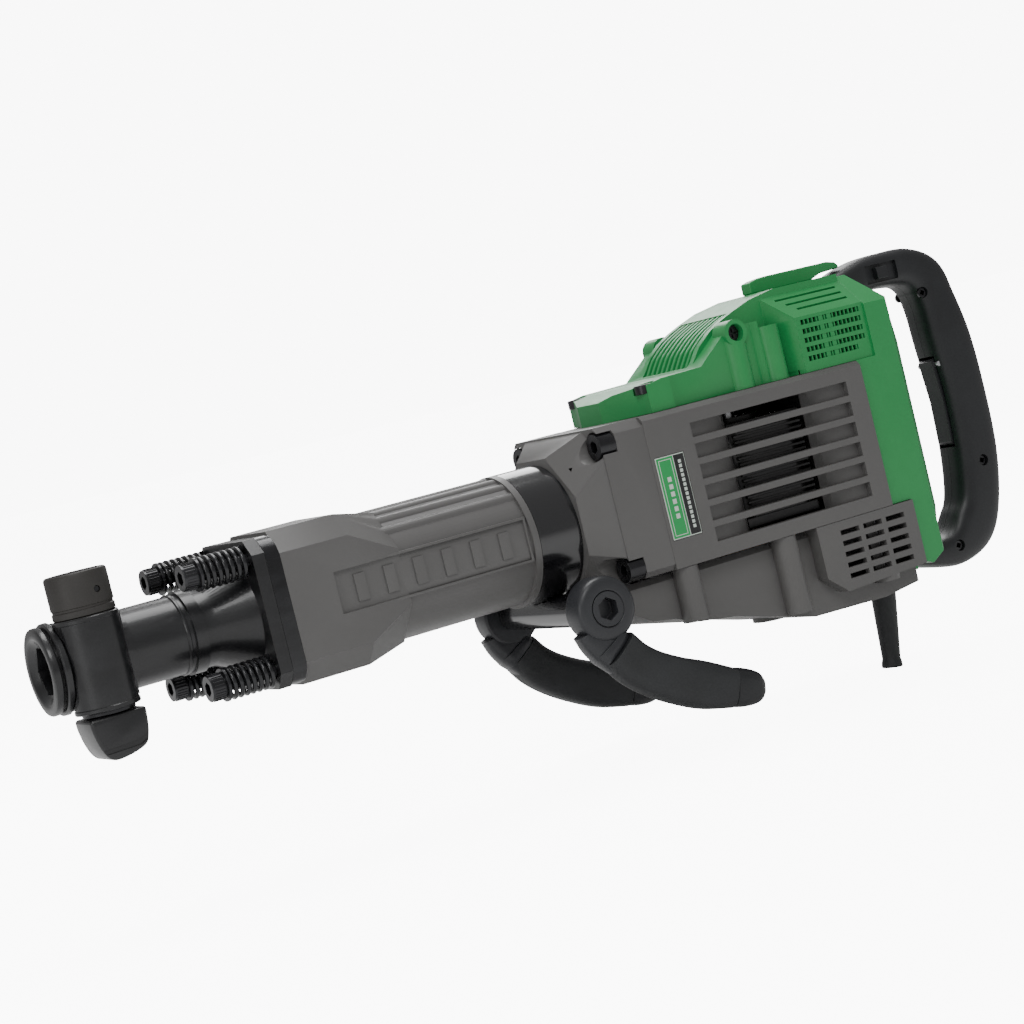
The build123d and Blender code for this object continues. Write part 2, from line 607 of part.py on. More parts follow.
with BuildPart() as top_cover:
    # flange over the crankcase, narrowed to a blunt tongue at the front
    side_plate([(432, cover_floor), (432, 78), (438, 81), (462, 85), (510, 86), (510, cover_floor)], -55, 55)
    for side in (-1, 1):
        with BuildSketch(Plane.XY.offset(cover_floor)) as corner:
            with BuildLine():
                Polyline([(430, side * 15), (432, side * 15), (447, side * 44), (449, side * 54),
                          (449, side * 60), (430, side * 60)], close=True)
            make_face()
        extrude(corner.sketch, amount=30, mode=Mode.SUBTRACT)
        # the flange steps in behind its screw
        block((469, 512), sorted((side * 51.5, side * 60)), (cover_floor, 90), Mode.SUBTRACT)
    # shoulders that rise to the block, each with a screw pillar and a hollow behind it
    side_plate([(496, cover_floor), (496, 81), (499, 85.5), (526, 106), (540, 108), (565, 108),
                (565, cover_floor)], -51.5, 51.5)
    for x, y in pillar_places:
        disc_z(9.5, cover_floor, PILLAR_Z, x, y)
        disc_y(9.5, math.copysign(40, y), math.copysign(56, y), x, PILLAR_Z)
    # block over the motor, with sloping upper edges
    with BuildSketch(Plane.YZ.offset(556)) as block_section:
        with BuildLine():
            Polyline([(-BLOCK_HALF, cover_floor), (-BLOCK_HALF, 103.5), (-30, 128), (30, 128),
                      (BLOCK_HALF, 103.5), (BLOCK_HALF, cover_floor)], close=True)
        make_face()
    extrude(block_section.sketch, amount=BLOCK_REAR - 556)
    for side in (-1, 1):
        with BuildSketch(Plane.XY.offset(cover_floor)) as front_corner:
            with BuildLine():
                Polyline([(555, side * 31), (572, side * 36), (584, side * 60),
                          (555, side * 60)], close=True)
            make_face()
        extrude(front_corner.sketch, amount=70, mode=Mode.SUBTRACT)
        disc_z(9.0, cover_floor, 103, 563, side * 48)
        disc_z(5.5, cover_floor, 110, 550, side * 56, mode=Mode.SUBTRACT)
    # the block's top follows the dome down towards the front
    side_plate([(540, 116), (546, 118.4), (563, 124), (586, 128), (586, 140), (540, 140)], -60, 60,
               mode=Mode.SUBTRACT)
    # ribbed dome, sunk between its two rims
    side_plate([(502, cover_floor)] + dome_arc + [(BLOCK_REAR, 128), (BLOCK_REAR, cover_floor)], -36, 36)
    side_plate([(x - 3, z + 3) for x, z in dome_arc[:5]] + [(x + 1.6, z - 2.4) for x, z in dome_arc[4::-1]],
               -30.5, 30.5, mode=Mode.SUBTRACT)
    # blower chamber, air space and bearing seat
    disc_z(45.5, cover_floor - 1, 84, MOTOR_X, mode=Mode.SUBTRACT)
    block((580, 640), (-53, 53), (cover_floor - 1, 103), Mode.SUBTRACT)
    disc_z(13.0, 80, 96.5, MOTOR_X, mode=Mode.SUBTRACT)
    # grille, five rows on each side
    for side in (-1, 1):
        for row in range(5):
            height = 101 - 6.7 * row
            rear = 641 if row < 4 else 633
            block((580, rear), sorted((side * 50, side * 62)), (height - 3.6, height), Mode.SUBTRACT)
    for x, y in pillar_places:
        disc_y(6.3, math.copysign(48, y), math.copysign(60, y), x, PILLAR_Z, mode=Mode.SUBTRACT)
    for x, y in screw_places:
        disc_z(8.0, 77, 90, x, y, mode=Mode.SUBTRACT)
finish(top_cover, "top_cover")

with BuildPart() as cover_screws:
    for x, y in screw_places:
        disc_z(7.0, 77, 83.5, x, y)
        hexagon(6.0, Plane((x, y, 79.5)), 4.0)
finish(cover_screws, "cover_screws")

with BuildPart() as top_pad:
    # an upright plate along the crest, its rear end free over the handle
    side_plate([(588, 128), (588, 136.5), (594, 138), (604, 139), (662, 139), (669, 137.5), (672, 135),
                (672, 132.5), (654, 131.5), (644, 128)], -6, 6)
finish(top_pad, "top_pad")

with BuildPart() as rear_cover:
    side_plate([(627, -46), (627, 63), (645, 63), (645, 126), (655, 126), (667, 103), (669, 86), (676, 69),
                (676, -57), (667, -66), (668, -88), (654, -96), (646, -93), (646, -46)], -60, 60)
    upright = rear_cover.edges().filter_by(Axis.Z).sort_by(Axis.X)[-2:]
    chamfer(upright, 11)
    # the top slopes with the block in front of it
    for side in (-1, 1):
        with BuildSketch(Plane.YZ.offset(625)) as slope:
            with BuildLine():
                Polyline([(side * 62, 100), (side * 58, 103.5), (side * 30, 128), (side * 30, 135),
                          (side * 70, 135), (side * 70, 100)], close=True)
            make_face()
        extrude(slope.sketch, amount=60, mode=Mode.SUBTRACT)
    block((630, 662), (-54, 54), (-42, 58), Mode.SUBTRACT)
    block((648, 660), (-48, 48), (-80, 100), Mode.SUBTRACT)
    # block that holds the cord guard
    block((646, 668), (-22, 22), (-103, -88))
    guard_bore(10.5)
finish(rear_cover, "rear_cover")

# ---------------------------------------------------------------- rear handle

handle_outer = [(656.5, 126.5), (676, 132.5), (690, 135.8), (708, 137), (743, 137), (762, 125), (773, 100),
                (781, 47), (779, -17), (772, -64), (762, -96), (750, -109), (724, -113), (668.3, -100.5)]
handle_inner = [(669, 103.5), (690, 109.5), (712, 109), (725, 99), (733, 68), (739, 20), (737, -32),
                (728, -66),
                (718, -81), (700, -86.5), (668.3, -86)]


def handle_half(side):
    """One half of the D-shaped rear handle."""
    with BuildPart() as half:
        side_plate(handle_outer + handle_inner[::-1], 0, side * 17)
        rim = half.faces().sort_by(Axis.Y)[0 if side < 0 else -1]
        chamfer(rim.edges(), 6)
        # room for the trigger and the switch
        block((727, 766), sorted((0, side * 9)), (-22, 49), Mode.SUBTRACT)
        disc_y(2.0, 0, side * 12, 740, 43, mode=Mode.SUBTRACT)
    return half


left_half = handle_half(-1)
with BuildPart() as handle_left:
    add(left_half.part)
    block((688, 716), (-18, -14), (115, 128), Mode.SUBTRACT)
finish(handle_left, "handle_left")
right_half = handle_half(1)
finish(right_half, "handle_right")

with BuildPart() as switch_block:
    block((750, 765), (-8, 8), (-18, 44))
finish(switch_block, "switch_block")

with BuildPart() as trigger:
    side_plate([(736, 45.5), (738.5, 47.5), (743, 47.5), (743, -20), (740.5, -21), (737.5, -18),
                (738.6, 14)], -8, 8)
    disc_y(2.0 + FIT, -9, 9, 740, 43, mode=Mode.SUBTRACT)
finish(trigger, "trigger")

with BuildPart() as trigger_pin:
    disc_y(2.0, -12, 12, 740, 43)
finish(trigger_pin, "trigger_pin")

with BuildPart() as lock_slider:
    block((696, 706), (-19, -14.3), (117, 126))
finish(lock_slider, "lock_slider")

with BuildPart() as cord_guard:
    with BuildSketch(guard_plane) as root_end:
        Circle(10.5)
    extrude(amount=20)
    with BuildSketch(guard_plane.offset(20)) as wide:
        Circle(10.0)
    with BuildSketch(guard_plane.offset(82)) as narrow:
        Circle(6.8)
    loft([wide.sketch.face(), narrow.sketch.face()])
    with BuildSketch(guard_plane.offset(82)) as lip:
        Circle(8.0)
    extrude(amount=4)
    guard_bore(4.5)
finish(cord_guard, "cord_guard")

# ---------------------------------------------------------------- side handle

with BuildPart() as clamp_ring:
    disc_x(47.0, BARREL_REAR + GAP, BAND_REAR - GAP)
    disc_y(11.5, -57.7, 57.7, HINGE_X, HINGE_Z)
    disc_x(SPIGOT_RADIUS + GAP, BARREL_REAR, BAND_REAR, mode=Mode.SUBTRACT)
    disc_y(6.0, -60, 60, HINGE_X, HINGE_Z, mode=Mode.SUBTRACT)
finish(clamp_ring, "clamp_ring")

ARM_INNER = 62.0           # the arm plate, measured across the tool
ARM_OUTER = 74.0
HUB_OUTER = 79.0
HUB_RADIUS = 22.5
GRIP_INNER = 57.0
GRIP_OUTER = 83.0

with BuildPart() as hinge_bolt:
    disc_y(6.0, -66, 66, HINGE_X, HINGE_Z)
    for side in (-1, 1):
        disc_y(12.0, side * 66, side * HUB_OUTER, HINGE_X, HINGE_Z)
        socket = Plane((HINGE_X, side * HUB_OUTER, HINGE_Z), x_dir=(1, 0, 0), z_dir=(0, -side, 0))
        hexagon(14.0, socket, 9)
finish(hinge_bolt, "hinge_bolt")

grip_low = [(355, -92), (374, -115), (397, -132), (428, -145), (449, -149)]
grip_high = [(449, -121), (428, -108), (404, -98), (389, -87), (377, -76)]
core = [(350, -70), (358, -88), (380, -111), (402, -126), (430, -137), (470, -143), (470, -129),
        (430, -119), (404, -108), (386, -97), (376, -82), (384, -62)]

with BuildPart() as handle_arms:
    for side in (-1, 1):
        disc_y(HUB_RADIUS, side * 58, side * HUB_OUTER, HINGE_X, HINGE_Z)
        side_plate(core, side * ARM_INNER, side * ARM_OUTER)
        side_plate([(344, -62), (355, -90.6), (375.6, -74.8), (385, -60)], side * 58.5, side * 78)
        disc_y(6.0 + FIT, side * 50, side * 80, HINGE_X, HINGE_Z, mode=Mode.SUBTRACT)
        disc_y(12.0 + FIT, side * 65.7, side * 80, HINGE_X, HINGE_Z, mode=Mode.SUBTRACT)
finish(handle_arms, "handle_arms")


def grip_outline(side):
    """Curved outline of one rubber grip, extruded over the width of the grip."""
    with BuildSketch(Plane.XZ.offset(-side * GRIP_INNER)) as section:
        with BuildLine():
            Spline(grip_low)
            Line(grip_low[-1], grip_high[0])
            Spline(grip_high)
            Line(grip_high[-1], grip_low[0])
        make_face()
    extrude(section.sketch, amount=-side * (GRIP_OUTER - GRIP_INNER))


with BuildPart() as grip_sleeves:
    for side in (-1, 1):
        grip_outline(side)
    rims = grip_sleeves.faces().filter_by(Axis.Y)
    chamfer(rims.edges(), 3.5)
    for side in (-1, 1):
        side_plate(core, side * ARM_INNER, side * ARM_OUTER, mode=Mode.SUBTRACT)
finish(grip_sleeves, "grip_sleeves")

with BuildPart() as grip_caps:
    for side in (-1, 1):
        side_plate([(449, -147), (469, -149), (475, -141), (467, -127), (456, -121.5), (449, -123)],
                   side * 58.5, side * 81.5)
    chamfer(grip_caps.faces().filter_by(Axis.Y).edges(), 2)
    for side in (-1, 1):
        side_plate(core, side * ARM_INNER, side * ARM_OUTER, mode=Mode.SUBTRACT)
finish(grip_caps, "grip_caps")
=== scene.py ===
"""Looks of an electric demolition hammer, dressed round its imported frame.

Lengths are in millimetres of the hammer's own frame until a mesh is finished: X runs along the hammer
axis from the tool socket to the rear handle, Z is up, and the label side is at -Y.
"""
from __future__ import annotations

import json
import logging
import math
import sys
from collections.abc import Sequence
from dataclasses import dataclass
from enum import Enum

import bmesh
import bpy
from mathutils import Matrix, Vector

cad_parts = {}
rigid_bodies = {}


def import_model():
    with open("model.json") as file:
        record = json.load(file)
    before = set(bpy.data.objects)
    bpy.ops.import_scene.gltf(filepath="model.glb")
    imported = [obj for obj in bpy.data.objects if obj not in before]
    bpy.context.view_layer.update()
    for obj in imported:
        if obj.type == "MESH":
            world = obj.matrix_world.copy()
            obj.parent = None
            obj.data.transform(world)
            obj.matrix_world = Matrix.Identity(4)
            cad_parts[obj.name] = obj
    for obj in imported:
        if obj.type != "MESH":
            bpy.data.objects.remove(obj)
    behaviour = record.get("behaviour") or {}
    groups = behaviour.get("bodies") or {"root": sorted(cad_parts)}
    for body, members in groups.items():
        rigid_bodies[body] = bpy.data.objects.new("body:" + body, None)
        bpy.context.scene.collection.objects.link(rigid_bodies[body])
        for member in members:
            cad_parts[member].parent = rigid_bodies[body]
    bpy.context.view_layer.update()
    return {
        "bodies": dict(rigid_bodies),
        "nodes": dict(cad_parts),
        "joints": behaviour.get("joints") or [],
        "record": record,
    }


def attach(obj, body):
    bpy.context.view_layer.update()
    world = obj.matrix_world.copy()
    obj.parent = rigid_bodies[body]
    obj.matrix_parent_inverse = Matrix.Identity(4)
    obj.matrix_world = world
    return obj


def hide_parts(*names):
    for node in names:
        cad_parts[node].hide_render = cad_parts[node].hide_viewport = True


LOG = logging.getLogger("hammer")
MM = 0.001
SHORTEST_CORNER = 3.0      # shorter edges keep their corners, in millimetres
Point = tuple[float, float]
Span = tuple[float, float]
Triple = tuple[float, float, float]
Outline = Sequence[Point]
Rows = Sequence[Sequence[float]]


# --- shader maths


class Signal:
    """A value socket that Python operators extend with Math nodes."""

    def __init__(self, shading: Shading, socket: bpy.types.NodeSocket) -> None:
        """Wrap one output socket of a material under construction."""
        self.shading = shading
        self.socket = socket

    def _math(self, operation: str, *values: Signal | float) -> Signal:
        """Add one Math node on some inputs and return its result."""
        node = self.shading.node("ShaderNodeMath", {"operation": operation}, *values)
        return Signal(self.shading, node.outputs[0])

    def __add__(self, other: Signal | float) -> Signal:
        """Sum."""
        return self._math("ADD", self, other)

    __radd__ = __add__

    def __sub__(self, other: Signal | float) -> Signal:
        """Difference."""
        return self._math("SUBTRACT", self, other)

    def __rsub__(self, other: float) -> Signal:
        """Difference from a number."""
        return self._math("SUBTRACT", other, self)

    def __mul__(self, other: Signal | float) -> Signal:
        """Product."""
        return self._math("MULTIPLY", self, other)

    __rmul__ = __mul__

    def clamped(self) -> Signal:
        """Limit the value to the range 0 to 1."""
        node = self.shading.node("ShaderNodeMath", {"operation": "ADD", "use_clamp": True}, self, 0.0)
        return Signal(self.shading, node.outputs[0])


Value = float | Sequence[float] | Signal


class Shading:
    """One procedural material under construction."""

    def __init__(self, name: str) -> None:
        """Start a material with a plain surface shader."""
        self.material = bpy.data.materials.new(name)
        self.material.use_nodes = True
        self.tree = self.material.node_tree
        self.surface = next(n for n in self.tree.nodes if n.type == "BSDF_PRINCIPLED")
        place = self.node("ShaderNodeTexCoord")
        self.place = Signal(self, place.outputs["Object"])

    def node(self, kind: str, settings: dict | None = None, *values: Value, **sockets: Value):
        """Add one node.

        Args:
            kind: the node's type.
            settings: properties set before its sockets.
            values: values or links of its first sockets, in order.
            sockets: values or links of named sockets, with underscores for spaces.

        Returns:
            The node.
        """
        node = self.tree.nodes.new(kind)
        for key, setting in (settings or {}).items():
            setattr(node, key, setting)
        for index, value in enumerate(values):
            self._feed(node.inputs[index], value)
        for key, value in sockets.items():
            self._feed(node.inputs[key.replace("_", " ")], value)
        return node

    def _feed(self, socket: bpy.types.NodeSocket, value: Value) -> None:
        """Link a signal to a socket, or set the socket's own value."""
        if isinstance(value, Signal):
            self.tree.links.new(value.socket, socket)
        elif isinstance(value, (int, float)):
            socket.default_value = value
        elif socket.type == "RGBA":
            socket.default_value = (*value[:3], 1.0)
        else:
            socket.default_value = value

    def noise(self, per_mm: float, detail: float = 3.0, roughness: float = 0.5,
              stretch: Sequence[float] = (1, 1, 1)) -> Signal:
        """Noise on the piece's own place.

        Args:
            per_mm: how many blotches to a millimetre.
            detail: octaves.
            roughness: how strong the finer octaves are.
            stretch: extra scale along each axis.

        Returns:
            The noise's value.
        """
        mapped = self.node("ShaderNodeMapping", {}, Vector=self.place, Scale=tuple(stretch))
        node = self.node("ShaderNodeTexNoise", {}, Vector=Signal(self, mapped.outputs[0]),
                         Scale=per_mm / MM, Detail=detail, Roughness=roughness)
        return Signal(self, node.outputs[0])

    def cells(self, per_mm: float) -> Signal:
        """Distance to the nearest of a field of scattered points."""
        node = self.node("ShaderNodeTexVoronoi", {}, Vector=self.place, Scale=per_mm / MM)
        return Signal(self, node.outputs["Distance"])

    def stepped(self, signal: Signal, low: float, high: float) -> Signal:
        """A soft threshold of a signal between two levels."""
        ramp = self.node("ShaderNodeValToRGB", {}, signal)
        for element, position, grey in zip(ramp.color_ramp.elements, (low, high), (0.0, 1.0)):
            element.position = position
            element.color = (grey, grey, grey, 1.0)
        return Signal(self, ramp.outputs[0])

    def mixed(self, factor: Value, first: Value, second: Value) -> Signal:
        """Blend two colours."""
        node = self.node("ShaderNodeMix", {"data_type": "RGBA"})
        self._feed(node.inputs[0], factor)
        self._feed(node.inputs[6], first)
        self._feed(node.inputs[7], second)
        return Signal(self, node.outputs[2])

    def bumped(self, height: Signal, depth_mm: float, strength: float = 1.0) -> None:
        """Feed a height to the surface's normal, on top of any bump already there."""
        node = self.node("ShaderNodeBump", {}, Strength=strength, Distance=depth_mm * MM, Height=height)
        normal = self.surface.inputs["Normal"]
        if normal.is_linked:
            self.tree.links.new(normal.links[0].from_socket, node.inputs["Normal"])
        self.tree.links.new(node.outputs[0], normal)

    def set(self, **sockets: Value) -> None:
        """Set or link the surface shader's sockets."""
        for key, value in sockets.items():
            self._feed(self.surface.inputs[key.replace("_", " ")], value)


# --- finishes


@dataclass(frozen=True)
class Coating:
    """What a piece is finished with; each kind dresses the surface in its own way."""

    name: str
    colour: Triple

    def build(self) -> bpy.types.Material:
        """Make the material."""
        shading = Shading(self.name)
        self.dress(shading)
        return shading.material

    def dress(self, shading: Shading) -> None:
        """Set the surface of a material under construction."""
        shading.set(Base_Color=self.colour)


@dataclass(frozen=True)
class MouldedPlastic(Coating):
    """Moulded plastic with a spark-eroded grain, faint blotches and rubbed dust."""

    dusty: Triple
    rough: float = 0.42
    grain_per_mm: float = 1.6
    grain_depth: float = 0.05
    dust: float = 0.25

    def dress(self, shading: Shading) -> None:
        """Set the surface."""
        blotch = shading.noise(0.012, 4.0)
        scuff = shading.noise(0.09, 5.0, 0.65)
        grain = shading.noise(self.grain_per_mm, 2.0)
        pits = shading.cells(self.grain_per_mm * 0.8)
        dust = (shading.stepped(blotch * 0.6 + scuff * 0.4, 0.42, 0.68) * self.dust).clamped()
        base = shading.mixed(dust, self.colour, self.dusty)
        speck = shading.stepped(grain, 0.35, 0.75) * 0.10
        shading.set(Base_Color=shading.mixed(speck, base, self.dusty))
        shading.set(Roughness=(self.rough + scuff * 0.16 + dust * 0.2 - 0.06).clamped())
        shading.set(Specular_IOR_Level=0.45)
        shading.bumped(grain * 0.6 + pits * 0.4, self.grain_depth, 0.55)
        shading.bumped(shading.noise(0.035, 2.0), 0.12, 0.35)


@dataclass(frozen=True)
class SatinPaint(Coating):
    """Sprayed paint on a casting: fine orange peel, faint specks and slight unevenness."""

    worn: Triple
    rough: float = 0.36
    metallic: float = 0.0
    peel_per_mm: float = 0.55
    peel_depth: float = 0.05
    coat: float = 0.0

    def dress(self, shading: Shading) -> None:
        """Set the surface."""
        cloud = shading.noise(0.014, 4.0)
        peel = shading.noise(self.peel_per_mm, 3.0)
        speck = shading.stepped(shading.cells(0.33), 0.02, 0.10)
        worn = (shading.stepped(cloud, 0.45, 0.8) * 0.35 + (1 - speck) * 0.25).clamped()
        shading.set(Base_Color=shading.mixed(worn, self.colour, self.worn))
        shading.set(Roughness=(self.rough + cloud * 0.14 - 0.07 + peel * 0.06).clamped())
        shading.set(Metallic=self.metallic, Coat_Weight=self.coat, Coat_Roughness=0.12)
        shading.bumped(peel, self.peel_depth, 0.5)


@dataclass(frozen=True)
class OiledSteel(Coating):
    """Blackened steel under an oil film: glossy, streaky and slightly pitted."""

    colour: Triple = (0.006, 0.006, 0.007)
    sheen: Triple = (0.022, 0.023, 0.026)
    rough: float = 0.24
    metallic: float = 0.4
    streak: Triple = (0.25, 1.0, 1.0)
    pits: float = 0.10

    def dress(self, shading: Shading) -> None:
        """Set the surface."""
        film = shading.noise(0.05, 5.0, 0.6, self.streak)
        cast = shading.noise(0.45, 4.0, 0.6)
        shading.set(Base_Color=shading.mixed(shading.stepped(film, 0.4, 0.75), self.colour, self.sheen))
        shading.set(Roughness=(self.rough + film * 0.28 - 0.12).clamped())
        shading.set(Metallic=self.metallic, Coat_Weight=0.35, Coat_Roughness=0.16)
        shading.bumped(cast, self.pits, 0.5)
        shading.bumped(film, 0.25, 0.3)


@dataclass(frozen=True)
class TurnedMetal(Coating):
    """Machined metal with fine turning marks round one axis."""

    rough: float = 0.22
    marks_per_mm: float = 2.4
    along: Triple = (1.0, 0.05, 0.05)

    def dress(self, shading: Shading) -> None:
        """Set the surface."""
        marks = shading.noise(self.marks_per_mm, 2.0, 0.5, self.along)
        stain = shading.noise(0.05, 4.0)
        darker = tuple(0.55 * c for c in self.colour)
        shading.set(Base_Color=shading.mixed(shading.stepped(stain, 0.4, 0.8) * 0.5, self.colour, darker))
        shading.set(Roughness=(self.rough + marks * 0.2 - 0.05).clamped())
        shading.set(Metallic=1.0)
        shading.bumped(marks, 0.02, 0.5)


@dataclass(frozen=True)
class GripRubber(Coating):
    """Soft black rubber with a pebbled skin that has gone slightly grey with handling."""

    colour: Triple = (0.008, 0.009, 0.010)
    rubbed: Triple = (0.028, 0.030, 0.033)
    rough: float = 0.55
    pebble_per_mm: float = 0.9

    def dress(self, shading: Shading) -> None:
        """Set the surface."""
        pebble = shading.cells(self.pebble_per_mm)
        rub = shading.noise(0.03, 4.0)
        fine = shading.noise(2.5, 2.0)
        shading.set(Base_Color=shading.mixed(shading.stepped(rub, 0.35, 0.8) * 0.6, self.colour, self.rubbed))
        shading.set(Roughness=(self.rough + rub * 0.2 - 0.1).clamped())
        shading.bumped(1 - pebble, 0.10, 0.45)
        shading.bumped(fine, 0.02, 0.4)


@dataclass(frozen=True)
class PrintedFilm(Coating):
    """Glossy printed label film with slight wear."""

    def dress(self, shading: Shading) -> None:
        """Set the surface."""
        rub = shading.noise(0.2, 5.0, 0.6)
        faded = tuple(0.8 * c + 0.03 for c in self.colour)
        shading.set(Base_Color=shading.mixed(shading.stepped(rub, 0.5, 0.8) * 0.5, self.colour, faded))
        shading.set(Roughness=(0.25 + rub * 0.15).clamped())
        shading.bumped(shading.noise(0.3, 2.0), 0.03, 0.3)


class Finish(Enum):
    """Every finish on the hammer."""

    GREY_PAINT = SatinPaint("grey_paint", (0.094, 0.092, 0.090), (0.118, 0.116, 0.113), 0.40)
    GREY_PLASTIC = MouldedPlastic("grey_plastic", (0.092, 0.090, 0.088), (0.125, 0.122, 0.118), 0.46)
    GREEN_PLASTIC = MouldedPlastic("green_plastic", (0.018, 0.236, 0.062), (0.045, 0.320, 0.110), 0.35,
                                   dust=0.15)
    BLACK_PLASTIC = MouldedPlastic("black_plastic", (0.008, 0.0085, 0.010), (0.026, 0.028, 0.031), 0.40)
    BAND_GLOSS = SatinPaint("band_gloss", (0.006, 0.006, 0.007), (0.015, 0.015, 0.017), 0.16, coat=0.8)
    HANDLE_PAINT = SatinPaint("handle_paint", (0.017, 0.018, 0.021), (0.030, 0.032, 0.036), 0.36)
    OILED = OiledSteel("oiled_steel")
    CAST_BLACK = OiledSteel("cast_black", (0.005, 0.005, 0.006), (0.014, 0.0145, 0.016), 0.36, 0.2, pits=0.16)
    BLACKENED = OiledSteel("blackened", (0.009, 0.009, 0.011), (0.035, 0.035, 0.039), 0.26, 0.6, pits=0.03)
    CAP = MouldedPlastic("cap_brown", (0.024, 0.022, 0.020), (0.045, 0.042, 0.039), 0.52)
    BRIGHT = TurnedMetal("bright_steel", (0.56, 0.56, 0.57))
    COPPER = TurnedMetal("copper", (0.62, 0.30, 0.14), 0.3, along=(0.05, 0.05, 1.0))
    IRON = OiledSteel("motor_iron", (0.010, 0.010, 0.011), (0.035, 0.034, 0.033), 0.45, 0.4)
    RUBBER = GripRubber("grip_rubber")
    SEAL = GripRubber("seal_rubber", pebble_per_mm=3.0)
    LABEL_GREEN = PrintedFilm("label_green", (0.012, 0.30, 0.075))
    LABEL_BLACK = PrintedFilm("label_black", (0.008, 0.008, 0.009))
    LABEL_PALE = PrintedFilm("label_pale", (0.55, 0.62, 0.56))


# --- mesh making


class Axis(Enum):
    """A direction of the hammer's frame, with the two directions across it."""

    X = 0
    Y = 1
    Z = 2

    def turned(self) -> Matrix:
        """Rotation that takes a shape's own z axis to this direction, its x axis to the first across."""
        if self is Axis.X:
            return Matrix(((0, 0, 1, 0), (1, 0, 0, 0), (0, 1, 0, 0), (0, 0, 0, 1)))
        if self is Axis.Y:
            return Matrix(((1, 0, 0, 0), (0, 0, 1, 0), (0, 1, 0, 0), (0, 0, 0, 1)))
        return Matrix.Identity(4)

    def across(self, centre: Point, along: float) -> Vector:
        """The point at a place across this direction and a distance along it."""
        a, b = centre
        return Vector({Axis.X: (along, a, b), Axis.Y: (a, along, b), Axis.Z: (a, b, along)}[self])


def linked(name: str, data: bpy.types.ID | None) -> bpy.types.Object:
    """Make an object and link it to the scene."""
    obj = bpy.data.objects.new(name, data)
    bpy.context.scene.collection.objects.link(obj)
    return obj


